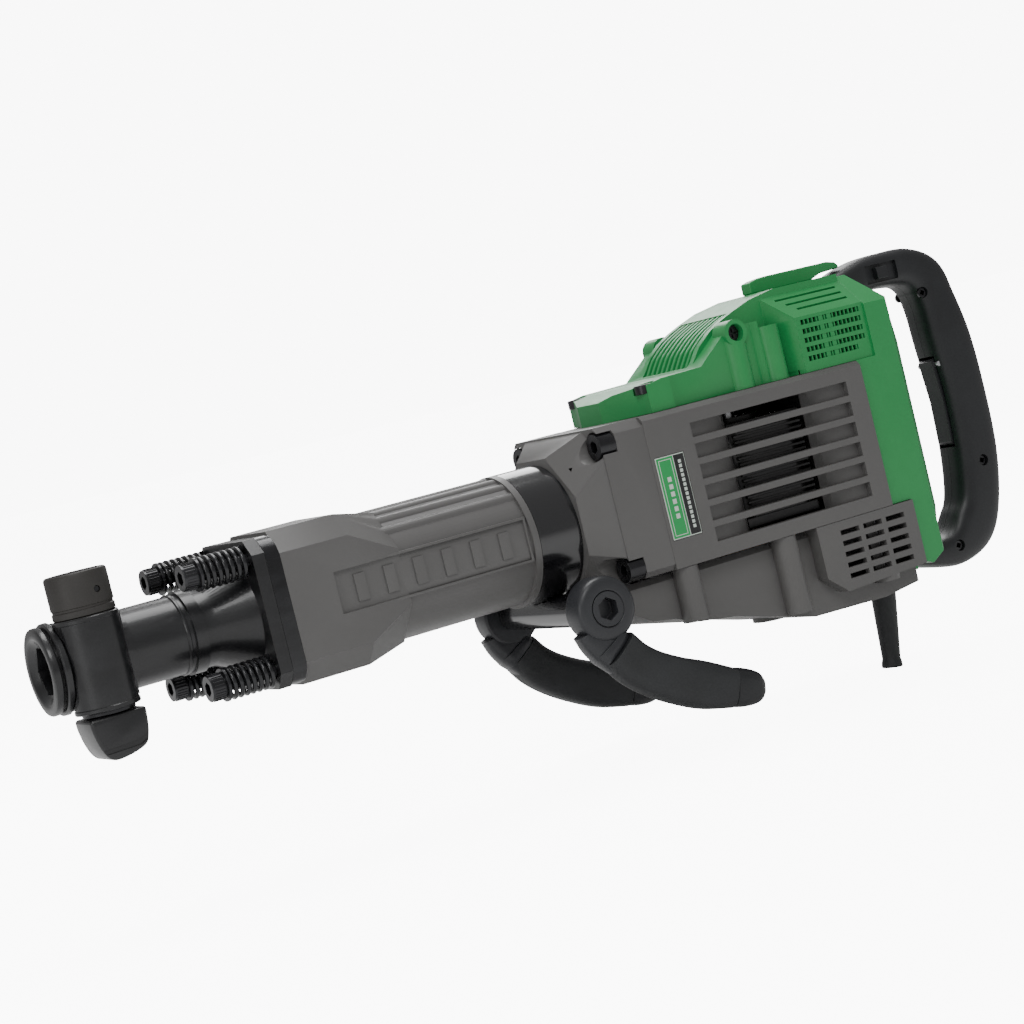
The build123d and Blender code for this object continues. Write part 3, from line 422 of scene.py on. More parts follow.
class Shape:
    """A mesh under construction."""

    def __init__(self, bm: bmesh.types.BMesh | None = None) -> None:
        """Start from nothing, or from a mesh already begun."""
        self.bm = bm or bmesh.new()

    def box(self, x: Span, y: Span, z: Span) -> Shape:
        """Add a box between three pairs of limits."""
        spans = [sorted(span) for span in (x, y, z)]
        centre = Vector([sum(span) / 2 for span in spans])
        sizes = [span[1] - span[0] for span in spans]
        place = Matrix.Translation(centre) @ Matrix.Diagonal((*sizes, 1.0))
        bmesh.ops.create_cube(self.bm, size=1.0, matrix=place)
        return self

    def drum(self, axis: Axis, centre: Point, span: Span, radius: float, end: float | None = None,
             sides: int = 64, turn: float = 0.0) -> Shape:
        """Add a closed drum, cone or prism.

        Args:
            axis: the direction it runs along.
            centre: its place across that direction, in the order of the other two axes.
            span: where it starts and stops.
            radius: its radius at the start.
            end: its radius at the stop, if different.
            sides: number of sides.
            turn: degrees it is turned about its own axis.

        Returns:
            The shape itself.
        """
        middle, length = sum(span) / 2, span[1] - span[0]
        matrix = Matrix.Translation(axis.across(centre, middle)) @ axis.turned()
        matrix = matrix @ Matrix.Rotation(math.radians(turn), 4, "Z")
        bmesh.ops.create_cone(self.bm, cap_ends=True, cap_tris=False, segments=sides, radius1=radius,
                              radius2=radius if end is None else end, depth=length, matrix=matrix)
        return self

    def plate(self, outline: Outline, axis: Axis, span: Span) -> Shape:
        """Add an outline pushed out along an axis, its points in the order of the other two axes."""
        face = self.bm.faces.new([self.bm.verts.new(axis.across(point, span[0])) for point in outline])
        made = bmesh.ops.extrude_face_region(self.bm, geom=[face])
        push = Vector((0, 0, 0))
        push[axis.value] = span[1] - span[0]
        verts = [item for item in made["geom"] if isinstance(item, bmesh.types.BMVert)]
        bmesh.ops.translate(self.bm, vec=push, verts=verts)
        return self

    def spun(self, profile: Outline, axis: Axis, centre: Point, steps: int = 72) -> Shape:
        """Add a turned body.

        Args:
            profile: (position along the axis, radius) points; a radius of 0 closes an end.
            axis: the direction of the turning axis.
            centre: its place across that direction.
            steps: number of steps round.

        Returns:
            The shape itself.
        """
        matrix, offset = axis.turned(), axis.across(centre, 0)
        verts = [self.bm.verts.new(offset + (matrix @ Vector((radius, 0, along))))
                 for along, radius in profile]
        edges = [self.bm.edges.new(pair) for pair in zip(verts, verts[1:])]
        bmesh.ops.spin(self.bm, geom=verts + edges, cent=offset, axis=matrix @ Vector((0, 0, 1)),
                       angle=math.tau, steps=steps, use_merge=True)
        bmesh.ops.remove_doubles(self.bm, verts=self.bm.verts[:], dist=0.001)
        return self

    def loft(self, stations: Sequence[Matrix], sides: int = 40, squareness: float = 1.0) -> Shape:
        """Add a body through a row of rounded sections.

        Args:
            stations: one matrix per section; it places a unit circle lying across its own z axis.
            sides: points round each section.
            squareness: below 1 the sections fill towards a rectangle.

        Returns:
            The shape itself.
        """
        rings: list[tuple[list, list]] = []
        for matrix in stations:
            made = bmesh.ops.create_circle(self.bm, cap_ends=False, radius=1.0, segments=sides)["verts"]
            for vert in made:
                for index in (0, 1):
                    value = vert.co[index]
                    vert.co[index] = math.copysign(abs(value) ** squareness, value)
            bmesh.ops.transform(self.bm, matrix=matrix, verts=made)
            rings.append((made, list({edge for vert in made for edge in vert.link_edges})))
            if len(rings) > 1:
                bmesh.ops.bridge_loops(self.bm, edges=rings[-2][1] + rings[-1][1])
        for verts, _ in (rings[0], rings[-1]):
            self.bm.faces.new(verts)
        return self

    def mirrored(self) -> Shape:
        """Add the whole shape's reflection on the hammer's other side."""
        copy = bmesh.ops.duplicate(self.bm, geom=self.bm.verts[:] + self.bm.edges[:] + self.bm.faces[:])
        verts = [item for item in copy["geom"] if isinstance(item, bmesh.types.BMVert)]
        bmesh.ops.scale(self.bm, vec=(1.0, -1.0, 1.0), verts=verts)
        return self.outward()

    def outward(self) -> Shape:
        """Point every face outwards."""
        bmesh.ops.recalc_face_normals(self.bm, faces=self.bm.faces[:])
        return self

    def _sharp(self, angle: float) -> list[bmesh.types.BMEdge]:
        """Edges whose faces meet at more than an angle, once every face points outwards."""
        self.outward()
        limit = math.radians(angle)
        return [edge for edge in self.bm.edges if edge.is_manifold and edge.calc_face_angle(0.0) > limit]

    def _bevelled(self, edges: list[bmesh.types.BMEdge], width: float, segments: int) -> Shape:
        """Round some edges."""
        bmesh.ops.bevel(self.bm, geom=edges, offset=width, offset_type="OFFSET", segments=segments,
                        profile=0.5, affect="EDGES", clamp_overlap=True, material=-1)
        return self

    def eased(self, width: float, segments: int = 3, angle: float = 30.0) -> Shape:
        """Round every edge sharper than an angle."""
        return self._bevelled(self._sharp(angle), width, segments)

    def rounded_along(self, axis: Axis, width: float, segments: int = 5) -> Shape:
        """Round the outer corners that run along one axis."""
        edges = []
        for edge in self._sharp(30):
            way = edge.verts[1].co - edge.verts[0].co
            if abs(way[axis.value]) > 0.999 * way.length > SHORTEST_CORNER and edge.is_convex:
                edges.append(edge)
        return self._bevelled(edges, width, segments)

    def handed_over(self, name: str) -> bpy.types.Mesh:
        """Turn the shape into a mesh and free it."""
        mesh = bpy.data.meshes.new(name)
        self.bm.to_mesh(mesh)
        self.bm.free()
        return mesh

    def add(self, other: Shape) -> Shape:
        """Take another shape's shells in."""
        mesh = other.handed_over("joined")
        self.bm.from_mesh(mesh)
        bpy.data.meshes.remove(mesh)
        return self

    def cut(self, other: Shape) -> Shape:
        """Take another shape away from this one and free both."""
        made = [linked("part", shape.outward().handed_over("part")) for shape in (self, other)]
        step = made[0].modifiers.new("step", "BOOLEAN")
        step.operation, step.object, step.solver, step.use_self = "DIFFERENCE", made[1], "EXACT", True
        seen = made[0].evaluated_get(bpy.context.evaluated_depsgraph_get())
        result = bmesh.new()
        result.from_mesh(seen.to_mesh())
        seen.to_mesh_clear()
        for item in made:
            mesh = item.data
            bpy.data.objects.remove(item)
            bpy.data.meshes.remove(mesh)
        return Shape(result)


class Workshop:
    """Turns shapes into finished pieces on the frame's bodies."""

    def __init__(self, frame: dict) -> None:
        """Keep the frame, with no finish made yet."""
        self.frame = frame
        self.palette: dict[Finish, bpy.types.Material] = {}
        self.slots = {part["node"]: part["material_slot"] for part in frame["record"]["subparts"]}
        bodies = frame["record"]["behaviour"]["bodies"]
        self.owner = {node: body for body, nodes in bodies.items() for node in nodes}
        self.count = 0

    def material(self, finish: Finish) -> bpy.types.Material:
        """A finish's material, built when it is first asked for."""
        if finish not in self.palette:
            self.palette[finish] = finish.value.build()
        return self.palette[finish]

    def piece(self, name: str, shape: Shape, finish: Finish, node: str, *, stands_for: Sequence[str] = (),
              ease: float = 0.0, segments: int = 2, angle: float = 32.0) -> None:
        """Finish one piece.

        Args:
            name: the piece's name.
            shape: its mesh, in millimetres.
            finish: what it is finished with.
            node: the CAD node it belongs to, which gives its body.
            stands_for: CAD nodes that it is shown instead of.
            ease: width of the rounding on its sharp edges.
            segments: steps across that rounding.
            angle: edges under this many degrees stay smooth.
        """
        bmesh.ops.scale(shape.bm, vec=(MM, MM, MM), verts=shape.bm.verts[:])
        mesh = shape.handed_over(name)
        obj = linked(name, mesh)
        mesh.shade_smooth()
        mesh.set_sharp_from_angle(angle=math.radians(angle))
        mesh.materials.append(self.material(finish))
        if ease:
            rounding = obj.modifiers.new("rounding", "BEVEL")
            rounding.width, rounding.segments = ease * MM, segments
            rounding.limit_method, rounding.angle_limit = "ANGLE", math.radians(angle)
            rounding.harden_normals = True
        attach(obj, self.owner[node])
        if stands_for:
            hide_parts(*stands_for)
        self.count += 1
        LOG.info("piece %s on %s", name, self.owner[node])

    def look(self, node: str, shape: Shape, finish: Finish, **options: float) -> None:
        """Finish a piece that is shown instead of one CAD node, with the options of a piece."""
        self.piece(f"{node}_look", shape, finish, node, stands_for=(node,), **options)

    def solid(self, node: str) -> Shape:
        """A merged copy of a CAD node's mesh in millimetres, with its flat faces whole."""
        bm = bmesh.new()
        bm.from_mesh(self.frame["nodes"][node].data)
        bmesh.ops.scale(bm, vec=(1 / MM,) * 3, verts=bm.verts[:])
        bmesh.ops.remove_doubles(bm, verts=bm.verts[:], dist=0.0005)
        bmesh.ops.dissolve_limit(bm, angle_limit=math.radians(0.6), verts=bm.verts[:], edges=bm.edges[:])
        return Shape(bm)

    def refined(self, node: str, finish: Finish, ease: float = 0.6, segments: int = 2,
                extra: Shape | None = None, cutter: Shape | None = None,
                corners: tuple[Axis, float] | None = None) -> None:
        """Show a CAD node with rounded edges, and with more detail where it is given.

        Args:
            node: the CAD node.
            finish: its finish.
            ease: width of the rounding.
            segments: steps across the rounding.
            extra: shells added to it.
            cutter: a shape taken away from it.
            corners: an axis and a radius, to round the corners that run along that axis.
        """
        shape = self.solid(node)
        if corners is not None:
            shape.rounded_along(*corners)
        if cutter is not None:
            shape = shape.cut(cutter)
        if extra is not None:
            shape.add(extra.outward())
        self.look(node, shape, finish, ease=ease, segments=segments)


# --- curves


def smooth_run(points: Rows, steps: int = 6) -> list[Vector]:
    """Round a row of guide values into an even curve through all of them.

    Args:
        points: guide values, of any one length each.
        steps: how many steps between two guides.

    Returns:
        The curve's values, ends included.
    """
    guides = [Vector(p) for p in points]
    guides = [2 * guides[0] - guides[1], *guides, 2 * guides[-1] - guides[-2]]
    curve: list[Vector] = []
    for a, b, c, d in zip(guides, guides[1:], guides[2:], guides[3:]):
        for step in range(steps):
            t = step / steps
            curve.append(0.5 * (2 * b + (c - a) * t + (2 * a - 5 * b + 4 * c - d) * t * t
                                + (3 * b - a - 3 * c + d) * t ** 3))
    curve.append(guides[-2])
    return curve


def side_stations(guides: Rows, y: float, steps: int = 6) -> list[Matrix]:
    """Sections along a curve that lies in a side view.

    Args:
        guides: rows of x, z, half height and half width.
        y: how far off the middle the curve lies.
        steps: steps between two guides.

    Returns:
        One section matrix for each step.
    """
    run = smooth_run(guides, steps)
    stations = []
    for index, here in enumerate(run):
        ahead, behind = run[min(index + 1, len(run) - 1)], run[max(index - 1, 0)]
        along = Vector((ahead[0] - behind[0], 0, ahead[1] - behind[1])).normalized()
        across = Vector((-along.z, 0, along.x))
        turn = Matrix((across, Vector((0, 1, 0)), along)).transposed().to_4x4()
        stations.append(Matrix.Translation((here[0], y, here[1])) @ turn
                        @ Matrix.Diagonal((here[2], here[3], 1.0, 1.0)))
    return stations


def band(start: float, stop: float, inner: float, outer: float, corner: float) -> list[Point]:
    """Profile of a raised band round a turned body, with its outer corners cut off."""
    return [(start, inner), (start, outer - corner), (start + corner, outer), (stop - corner, outer),
            (stop, outer - corner), (stop, inner), (start, inner)]


# --- nose


@dataclass
class Nose:
    """Tool socket, its retainer and the nose tube up to the sprung flange."""

    shop: Workshop
    ring_profile: Outline = (
        (12, 0), (4.2, 0), (4.2, 17.2), (0.9, 20.6), (0.2, 21.6), (0, 22.6), (0, 26.8), (0.5, 28),
        (1.6, 28.5), (4.4, 28.5), (5.1, 27.9), (5.3, 26.2), (6.7, 26), (7, 28.8), (7.9, 29.9), (11, 30),
        (11.8, 29.3), (12, 28), (12, 0))
    socket: float = 30.4
    pivot: Point = (31.0, -20.0)
    cap_profile: Outline = (
        (22, 8), (22, 12.6), (22.5, 13), (28.9, 13), (29, 18.8), (29.8, 19.9), (31, 20), (33.4, 20),
        (34, 19.3), (35.2, 19.3), (35.8, 20), (55, 20), (56.4, 19.4), (57, 18.4), (57, 16.9), (56.4, 16.5),
        (55.4, 16.3), (55.2, 4), (56, 3.2), (56, 0))
    lever: Rows = (
        (12, -34), (12.4, -41), (14.3, -50), (17.6, -58), (23, -62), (34, -61), (44, -57.6), (47.2, -52),
        (48.8, -44), (49.6, -34))

    def build(self) -> None:
        """Make every piece of the nose."""
        shop = self.shop
        hexagon = Shape().drum(Axis.X, (0, 0), (-1, 14), self.socket / math.sqrt(3), sides=6, turn=30)
        ring = Shape().spun(self.ring_profile, Axis.X, (0, 0), 96).outward().cut(hexagon)
        shop.piece("socket_ring", ring, Finish.CAST_BLACK, "front_ring", stands_for=("front_ring",),
                   ease=0.35)
        self.body()
        shop.refined("tool_bushing", Finish.BLACKENED, 0.4)
        shop.refined("anvil", Finish.BRIGHT, 0.4)
        shop.refined("retainer_pin", Finish.BLACKENED, 0.5)
        self.cap()
        shop.refined("cap_roll_pin", Finish.BLACKENED, 0.3)
        shop.refined("thrust_collar", Finish.BLACKENED, 0.4)
        shop.refined("retainer_spring", Finish.BLACKENED, 0.3)
        self.stop()

    def body(self) -> None:
        """Cast nose with its retainer boss, a parting ridge and raised bands."""
        bands = Shape()
        for start, stop, radius in ((13, 16, 28.6), (90.5, 93, 26.9)):
            bands.spun(band(start, stop, 25, radius, 0.6), Axis.X, (0, 0), 80)
        for z in (27.2, -29.4):
            bands.spun(band(z - 1.5, z + 1.5, 19, 21.0, 0.5), Axis.Z, self.pivot, 64)
        self.shop.refined("nose_body", Finish.CAST_BLACK, 1.1, 3, extra=bands)

    def cap(self) -> None:
        """Retainer cap with a grip groove and the hole of its roll pin."""
        x, y = self.pivot
        cap = Shape().spun(self.cap_profile, Axis.Z, (x, y), 80)
        bmesh.ops.holes_fill(cap.bm, edges=[e for e in cap.bm.edges if e.is_boundary], sides=200)
        hole = Shape().drum(Axis.Y, (x + 6, 44), (y - 22, y + 22), 2.1, sides=24)
        hole.drum(Axis.Y, (x + 6, 44), (y - 22, y - 18.6), 3.2, 2.1, sides=24)
        self.shop.look("retainer_cap", cap.outward().cut(hole), Finish.CAP, ease=0.25, angle=28)

    def stop(self) -> None:
        """Hooked stop lever with a thumb ridge."""
        outline = [tuple(p) for p in smooth_run(self.lever, 3)]
        lever = Shape().plate(outline, Axis.Y, (-37.6, -4.4)).eased(2.6, 3, 40)
        x, y = self.pivot
        hollow = Shape().drum(Axis.Z, (x, y), (-52, -30), 9.0, sides=48)
        hollow.plate([(-2, -58.4), (11, -58.4), (12, -54.2), (40, -53.2), (52, -47), (52, -50.5), (41, -56.6),
                      (13, -57.4), (10, -61), (-2, -61)], Axis.Y, (-41, -36.4))
        ridge = Shape().spun([(-40, 9.2), (-40, 15.4), (-39, 16.4), (-35, 16.4), (-34.2, 15.6), (-34.2, 9.2),
                              (-40, 9.2)], Axis.Z, (x, y), 64)
        self.shop.look("stop_lever", lever.cut(hollow).add(ridge.outward()), Finish.CAST_BLACK, ease=0.5)


# --- flange


@dataclass
class SprungFlange:
    """Buffer plate with its four bolts, washers and springs."""

    shop: Workshop
    bolt_y: float = 35.0
    bolt_z: float = 36.0
    head: Span = (92.0, 102.0)
    head_radius: float = 8.45
    teeth: int = 28

    def build(self) -> None:
        """Make every piece of the flange."""
        shop = self.shop
        shop.refined("buffer_plate", Finish.OILED, 0.8, 3, corners=(Axis.X, 5.0))
        shop.refined("flange_springs", Finish.OILED, 0.0)
        shop.refined("flange_washers", Finish.BLACKENED, 0.3)
        heads = shop.solid("flange_bolts")
        knurls = Shape()
        for y in (-self.bolt_y, self.bolt_y):
            for z in (-self.bolt_z, self.bolt_z):
                for tooth in range(self.teeth):
                    turn = math.tau * tooth / self.teeth
                    spot = (y + self.head_radius * math.cos(turn), z + self.head_radius * math.sin(turn))
                    knurls.drum(Axis.X, spot, (self.head[0] + 1.6, self.head[1] - 1.2), 0.55, sides=6)
        heads.add(knurls.outward())
        shop.look("flange_bolts", heads, Finish.BLACKENED, ease=0.45)


# --- barrel


@dataclass
class Barrel:
    """Cast barrel and the hammer mechanism inside it."""

    shop: Workshop
    panel_x: Span = (190.0, 336.0)
    panel_z: Span = (-13.0, 15.0)
    frame_in: float = 42.6
    frame_out: float = 44.9

    def build(self) -> None:
        """Make every piece of the barrel."""
        shop = self.shop
        shop.refined("barrel_case", Finish.GREY_PAINT, 1.0, 3, extra=self.panel_frames())
        shop.refined("cylinder_liner", Finish.BRIGHT, 0.3)
        shop.refined("front_cushion", Finish.SEAL, 0.6)
        for node in ("striker", "piston", "piston_rings", "piston_pin", "connecting_rod"):
            shop.refined(node, Finish.BRIGHT, 0.4)
        shop.refined("striker_seal", Finish.SEAL, 0.2)

    def panel_frames(self) -> Shape:
        """Raised border round the panel of each side."""
        (x0, x1), (z0, z1) = self.panel_x, self.panel_z
        border = Shape()
        for x, z in (((x0 + 26, x1), (z1 - 0.2, z1 + 1.6)), ((x0 + 26, x1), (z0 - 1.6, z0 + 0.2)),
                     ((x1 - 1.0, x1 + 0.8), (z0 - 1.6, z1 + 1.6))):
            border.box(x, (-self.frame_out, -self.frame_in), z)
        return border.eased(0.45, 2).mirrored()


# --- band and side handle


@dataclass
class SideHandle:
    """Clamp band under the crankcase and the folding side handle on its hinge."""

    shop: Workshop
    hinge: Point = (364.0, -56.0)
    arm_y: float = 68.0
    grip_y: float = 70.0
    hub: Outline = (
        (58.2, 6.3), (58.2, 20.8), (59.4, 22.2), (60.8, 22.5), (74.5, 22.5), (76.6, 21.9), (78.2, 20.4),
        (78.9, 18.0), (78.9, 12.9), (78.3, 12.3), (65.8, 12.3), (65.8, 6.3), (58.2, 6.3))
    grip: Rows = (
        (367.5, -84.5, 14.6, 12.8), (377, -97, 15.2, 12.8), (389, -107, 15.6, 12.6),
        (406, -117, 16.2, 12.8), (427, -126.5, 16.6, 12.9), (448.6, -134.6, 14.0, 12.6))
    arm: Rows = (
        (357, -66, 17.5, 8.0), (360, -76, 16, 9.4), (366, -87, 13.5, 9.4), (378, -101, 10.5, 6.0),
        (404, -117, 8, 6), (430, -127.5, 8, 6), (455, -134, 6.5, 6))
    collar: Rows = ((361.5, -79, 14.6, 10.8), (363.5, -82.4, 14.8, 11.4), (365.6, -85.4, 14.2, 11.0))
    cap: Rows = (
        (448.6, -134.2, 13.6, 12.2), (455, -136, 13.8, 12.4), (463, -138.2, 12.6, 11.8),
        (469, -139.6, 10.4, 10.4), (473, -140.4, 6.4, 7.2))

    def build(self) -> None:
        """Make every piece of the band and the handle."""
        shop = self.shop
        shop.refined("clamp_ring", Finish.BAND_GLOSS, 0.8, 3)
        shop.refined("hinge_bolt", Finish.HANDLE_PAINT, 0.7, 3)
        self.arms()
        self.grips()
        self.caps()

    def arms(self) -> None:
        """Hub discs with stepped faces, and the arms that carry the grips."""
        x, z = self.hinge
        hubs = Shape().spun(self.hub, Axis.Y, (x, z), 80)
        arm = Shape().loft(side_stations(self.arm, self.arm_y), 36, 0.55)
        collar = Shape().loft(side_stations(self.collar, self.arm_y, 4), 40, 0.55)
        arms = hubs.outward().add(arm.outward()).add(collar.outward())
        self.shop.look("handle_arms", arms.mirrored(), Finish.HANDLE_PAINT, ease=0.3)

    def grips(self) -> None:
        """Curved rubber grips with shallow finger grooves and a moulded seam."""
        grip = Shape().loft(side_stations(self.grip, self.grip_y, 10), 56, 0.6)
        ridge = [(x, z, half_height + 0.35, 0.8) for x, z, half_height, _ in self.grip]
        seam = Shape().loft(side_stations(ridge, self.grip_y, 10), 12, 0.8)
        self.shop.look("grip_sleeves", grip.outward().add(seam.outward()).mirrored(), Finish.RUBBER,
                       ease=1.6, segments=3, angle=50)

    def caps(self) -> None:
        """Hard end caps of the grips."""
        cap = Shape().loft(side_stations(self.cap, self.grip_y, 5), 48, 0.62)
        self.shop.look("grip_caps", cap.outward().mirrored(), Finish.BLACK_PLASTIC, ease=1.2, segments=3,
                       angle=50)


# --- crankcase and motor


@dataclass
class Drive:
    """Crankcase, its bolts, and the gears and motor behind the covers."""

    shop: Workshop
    motor_x: float = 545.0
    steel_nodes: Sequence[str] = ("crankshaft", "crank_gear", "idler_gear", "gear_bearings", "armature_shaft",
                                  "motor_bearings")

    def build(self) -> None:
        """Make every piece of the drive."""
        shop = self.shop
        shop.refined("crankcase", Finish.GREY_PAINT, 0.8, 2)
        shop.refined("crankcase_bolts", Finish.BLACKENED, 0.8, 3)
        for node in self.steel_nodes:
            shop.refined(node, Finish.BRIGHT, 0.2, 1)
        shop.refined("armature_core", Finish.IRON, 0.3, 1)
        shop.refined("commutator", Finish.COPPER, 0.1, 1)
        shop.refined("fan", Finish.BLACK_PLASTIC, 0.2, 1)
        shop.refined("stator", Finish.IRON, 0.6, 2, extra=self.windings())
        shop.refined("brushes", Finish.IRON, 0.2, 1)
        shop.refined("brush_holders", Finish.COPPER, 0.3, 1)

    def windings(self) -> Shape:
        """Lamination lines on the stator's outside."""
        lines = Shape()
        for step in range(15):
            z = -26 + 4 * step
            lines.box((self.motor_x - 30, self.motor_x + 30), (-47.4, -45), (z, z + 2.2))
        return lines.mirrored()


# --- grey housings


@dataclass
class GreyHousings:
    """Motor housing, louvred side covers, label and the lower housing."""

    shop: Workshop
    louvre_x: Span = (472.0, 611.0)
    louvre_top: float = 50.0
    louvre_step: float = 15.0
    louvres: int = 6
    front_wall: Outline = (
        (-3, 57.8), (12, 57.4), (24, 56.0), (33, 52.5), (38, 47.5), (34, 46.5), (20, 52.0), (-3, 54.5))
    rear_wall: Outline = (
        (-3, 57.8), (12, 57.4), (22, 56.0), (29, 52.5), (33, 47.5), (29, 46.5), (18, 52.0), (-3, 54.5))
    skin: float = -62.9
    label_x: Span = (437.0, 461.0)
    label_z: Span = (-26.0, 32.0)

    def build(self) -> None:
        """Make every piece of the grey housings."""
        shop = self.shop
        shop.refined("motor_housing", Finish.GREY_PLASTIC, 0.6)
        for side, node in ((-1, "left_side_cover"), (1, "right_side_cover")):
            shop.refined(node, Finish.GREY_PLASTIC, 0.9, 3, extra=self.blades(side))
        self.label()
        shop.refined("lower_housing", Finish.GREY_PLASTIC, 1.0, 3)
        shop.refined("housing_screws", Finish.BLACKENED, 0.4)

    def blades(self, side: int) -> Shape:
        """Sunk walls behind one side's louvres (-1 the label side), rounded towards the open middle."""
        walls = Shape()
        z0, z1 = self.louvre_top - self.louvre_step * self.louvres, self.louvre_top + 3
        for start, way, wall in zip(self.louvre_x, (1, -1), (self.front_wall, self.rear_wall)):
            walls.plate([(start + way * x, side * y) for x, y in wall], Axis.Z, (z0, z1))
        return walls.outward()

    def label(self) -> None:
        """Name plate with a green and a black field, and plain bars instead of words."""
        (x0, x1), (z0, z1), face, shop = self.label_x, self.label_z, self.skin, self.shop
        backing = Shape().box((x0, x1), (face + 0.15, -62.2), (z0, z1)).eased(0.2, 2)
        shop.piece("label_backing", backing, Finish.LABEL_PALE, "label_plate", stands_for=("label_plate",))
        for name, finish, x in (("label_green_field", Finish.LABEL_GREEN, (x0 + 0.7, x1 - 9.6)),
                                ("label_black_field", Finish.LABEL_BLACK, (x1 - 9.0, x1 - 0.4))):
            ink = Shape().box(x, (face + 0.08, face + 0.5), (z0 + 0.7, z1 - 0.7)).eased(0.05, 1)
            shop.piece(name, ink, finish, "label_plate")
        marks, raised = Shape(), (face, face + 0.3)
        g0, g1 = x0 + 2.2, x1 - 11.2
        for low in (z0 + 2.2, z1 - 2.7):
            marks.box((g0, g1), raised, (low, low + 0.5))
        for low in (g0, g1 - 0.5):
            marks.box((low, low + 0.5), raised, (z0 + 2.7, z1 - 2.7))
        for step in range(6):
            marks.box((x0 + 6.4, x0 + 9.6), raised, (z0 + 14 + 5.2 * step, z0 + 17.4 + 5.2 * step))
        for step in range(15):
            marks.box((x1 - 5.9, x1 - 3.5), raised, (z0 + 5 + 3.3 * step, z0 + 7.3 + 3.3 * step))
        shop.piece("label_marks", marks.outward(), Finish.LABEL_PALE, "label_plate")


# --- green covers


@dataclass
class GreenCovers:
    """Ribbed top cover, its pad, and the rear cover."""

    shop: Workshop
    rib_guides: Outline = (
        (502.4, 87), (507, 93.6), (512, 99.5), (524, 108.5), (535, 114), (546, 118.4))
    ribs: int = 9
    rib_half_span: float = 26.4
    slope_foot: Point = (58.0, 103.5)
    slope_top: Point = (30.0, 128.0)
    grille_x: Span = (580.0, 641.0)
    grille_top: float = 101.0
    grille_step: float = 6.7
    grille_height: float = 3.6
    pillar: Point = (532.0, 103.5)

    def build(self) -> None:
        """Make every piece of the green covers."""
        shop = self.shop
        extra = self.dome_ribs()
        extra.add(self.grille_bars().outward())
        extra.add(self.corner_posts().outward())
        shop.refined("top_cover", Finish.GREEN_PLASTIC, 1.1, 3, extra=extra, cutter=self.top_slots())
        shop.refined("cover_screws", Finish.BLACKENED, 0.4)
        self.pillar_screws()
        shop.refined("top_pad", Finish.GREEN_PLASTIC, 1.6, 3)
        shop.refined("rear_cover", Finish.GREEN_PLASTIC, 1.6, 3)

    def dome_ribs(self) -> Shape:
        """Curved cooling ribs sunk between the rims of the dome."""
        ribs = Shape()
        run = smooth_run(self.rib_guides, 5)
        for index in range(self.ribs):
            y = -self.rib_half_span + 2 * self.rib_half_span * index / (self.ribs - 1)
            outline = [(p[0], p[1] - 0.5) for p in run] + [(p[0] + 4, p[1] - 4.5) for p in reversed(run)]
            ribs.plate(outline, Axis.Y, (y - 1.5, y + 1.5))
        return ribs.eased(0.35, 2, 50)

    def grille_bars(self) -> Shape:
        """Fine upright bars across each grille row, with two broader posts."""
        bars = Shape()
        (x0, x1), half = self.grille_x, self.slope_foot[0]
        for row in range(5):
            top = self.grille_top - self.grille_step * row
            span = (top - self.grille_height - 0.3, top + 0.3)
            for step in range(1, 17):
                x = x0 + 3.7 * step
                bars.box((x - 0.55, x + 0.55), (-half + 0.5, -half + 2.6), span)
            for x in (x0 + 25.9, x0 + 33.3):
                bars.box((x - 1.9, x + 1.9), (-half + 0.3, -half + 2.8), span)
        return bars.mirrored()

    def corner_posts(self) -> Shape:
        """Solid front corners of the block, so that its grille rows end before the bevel."""
        corner = [(575.5, -44), (583.0, -57.9), (587.4, -57.9), (587.4, -50), (579, -44)]
        return Shape().plate(corner, Axis.Z, (66, 103)).mirrored()

    def top_slots(self) -> Shape:
        """Three long slots along each sloping upper edge."""
        slots = Shape()
        (y0, z0), (y1, z1) = self.slope_foot, self.slope_top
        outward = Vector((0, -(z1 - z0), y0 - y1)).normalized()
        for row, start in enumerate((592, 587, 582)):
            share = 0.24 + 0.19 * row
            foot = Vector((0, -(y0 + (y1 - y0) * share), z0 + (z1 - z0) * share))
            slope = Vector((0, y0 - y1, z1 - z0)).normalized()
            corners = [foot + slope * across + outward * up
                       for across, up in ((-1.1, -1.8), (1.1, -1.8), (1.1, 3), (-1.1, 3))]
            slots.plate([(c.y, c.z) for c in corners], Axis.X, (start, 638))
        return slots.mirrored()

    def pillar_screws(self) -> None:
        """Cross-slotted screws sunk in the pillars beside the dome."""
        x, z = self.pillar
        screws = Shape().drum(Axis.Y, (x, z), (-50.8, -48.4), 5.6, sides=40)
        cross = Shape()
        for half_x, half_z in ((3.6, 0.7), (0.7, 3.6)):
            cross.box((x - half_x, x + half_x), (-52, -49.6), (z - half_z, z + half_z))
        self.shop.piece("pillar_screws", screws.cut(cross).mirrored(), Finish.BLACKENED, "cover_screws",
                        ease=0.3)


# --- rear handle


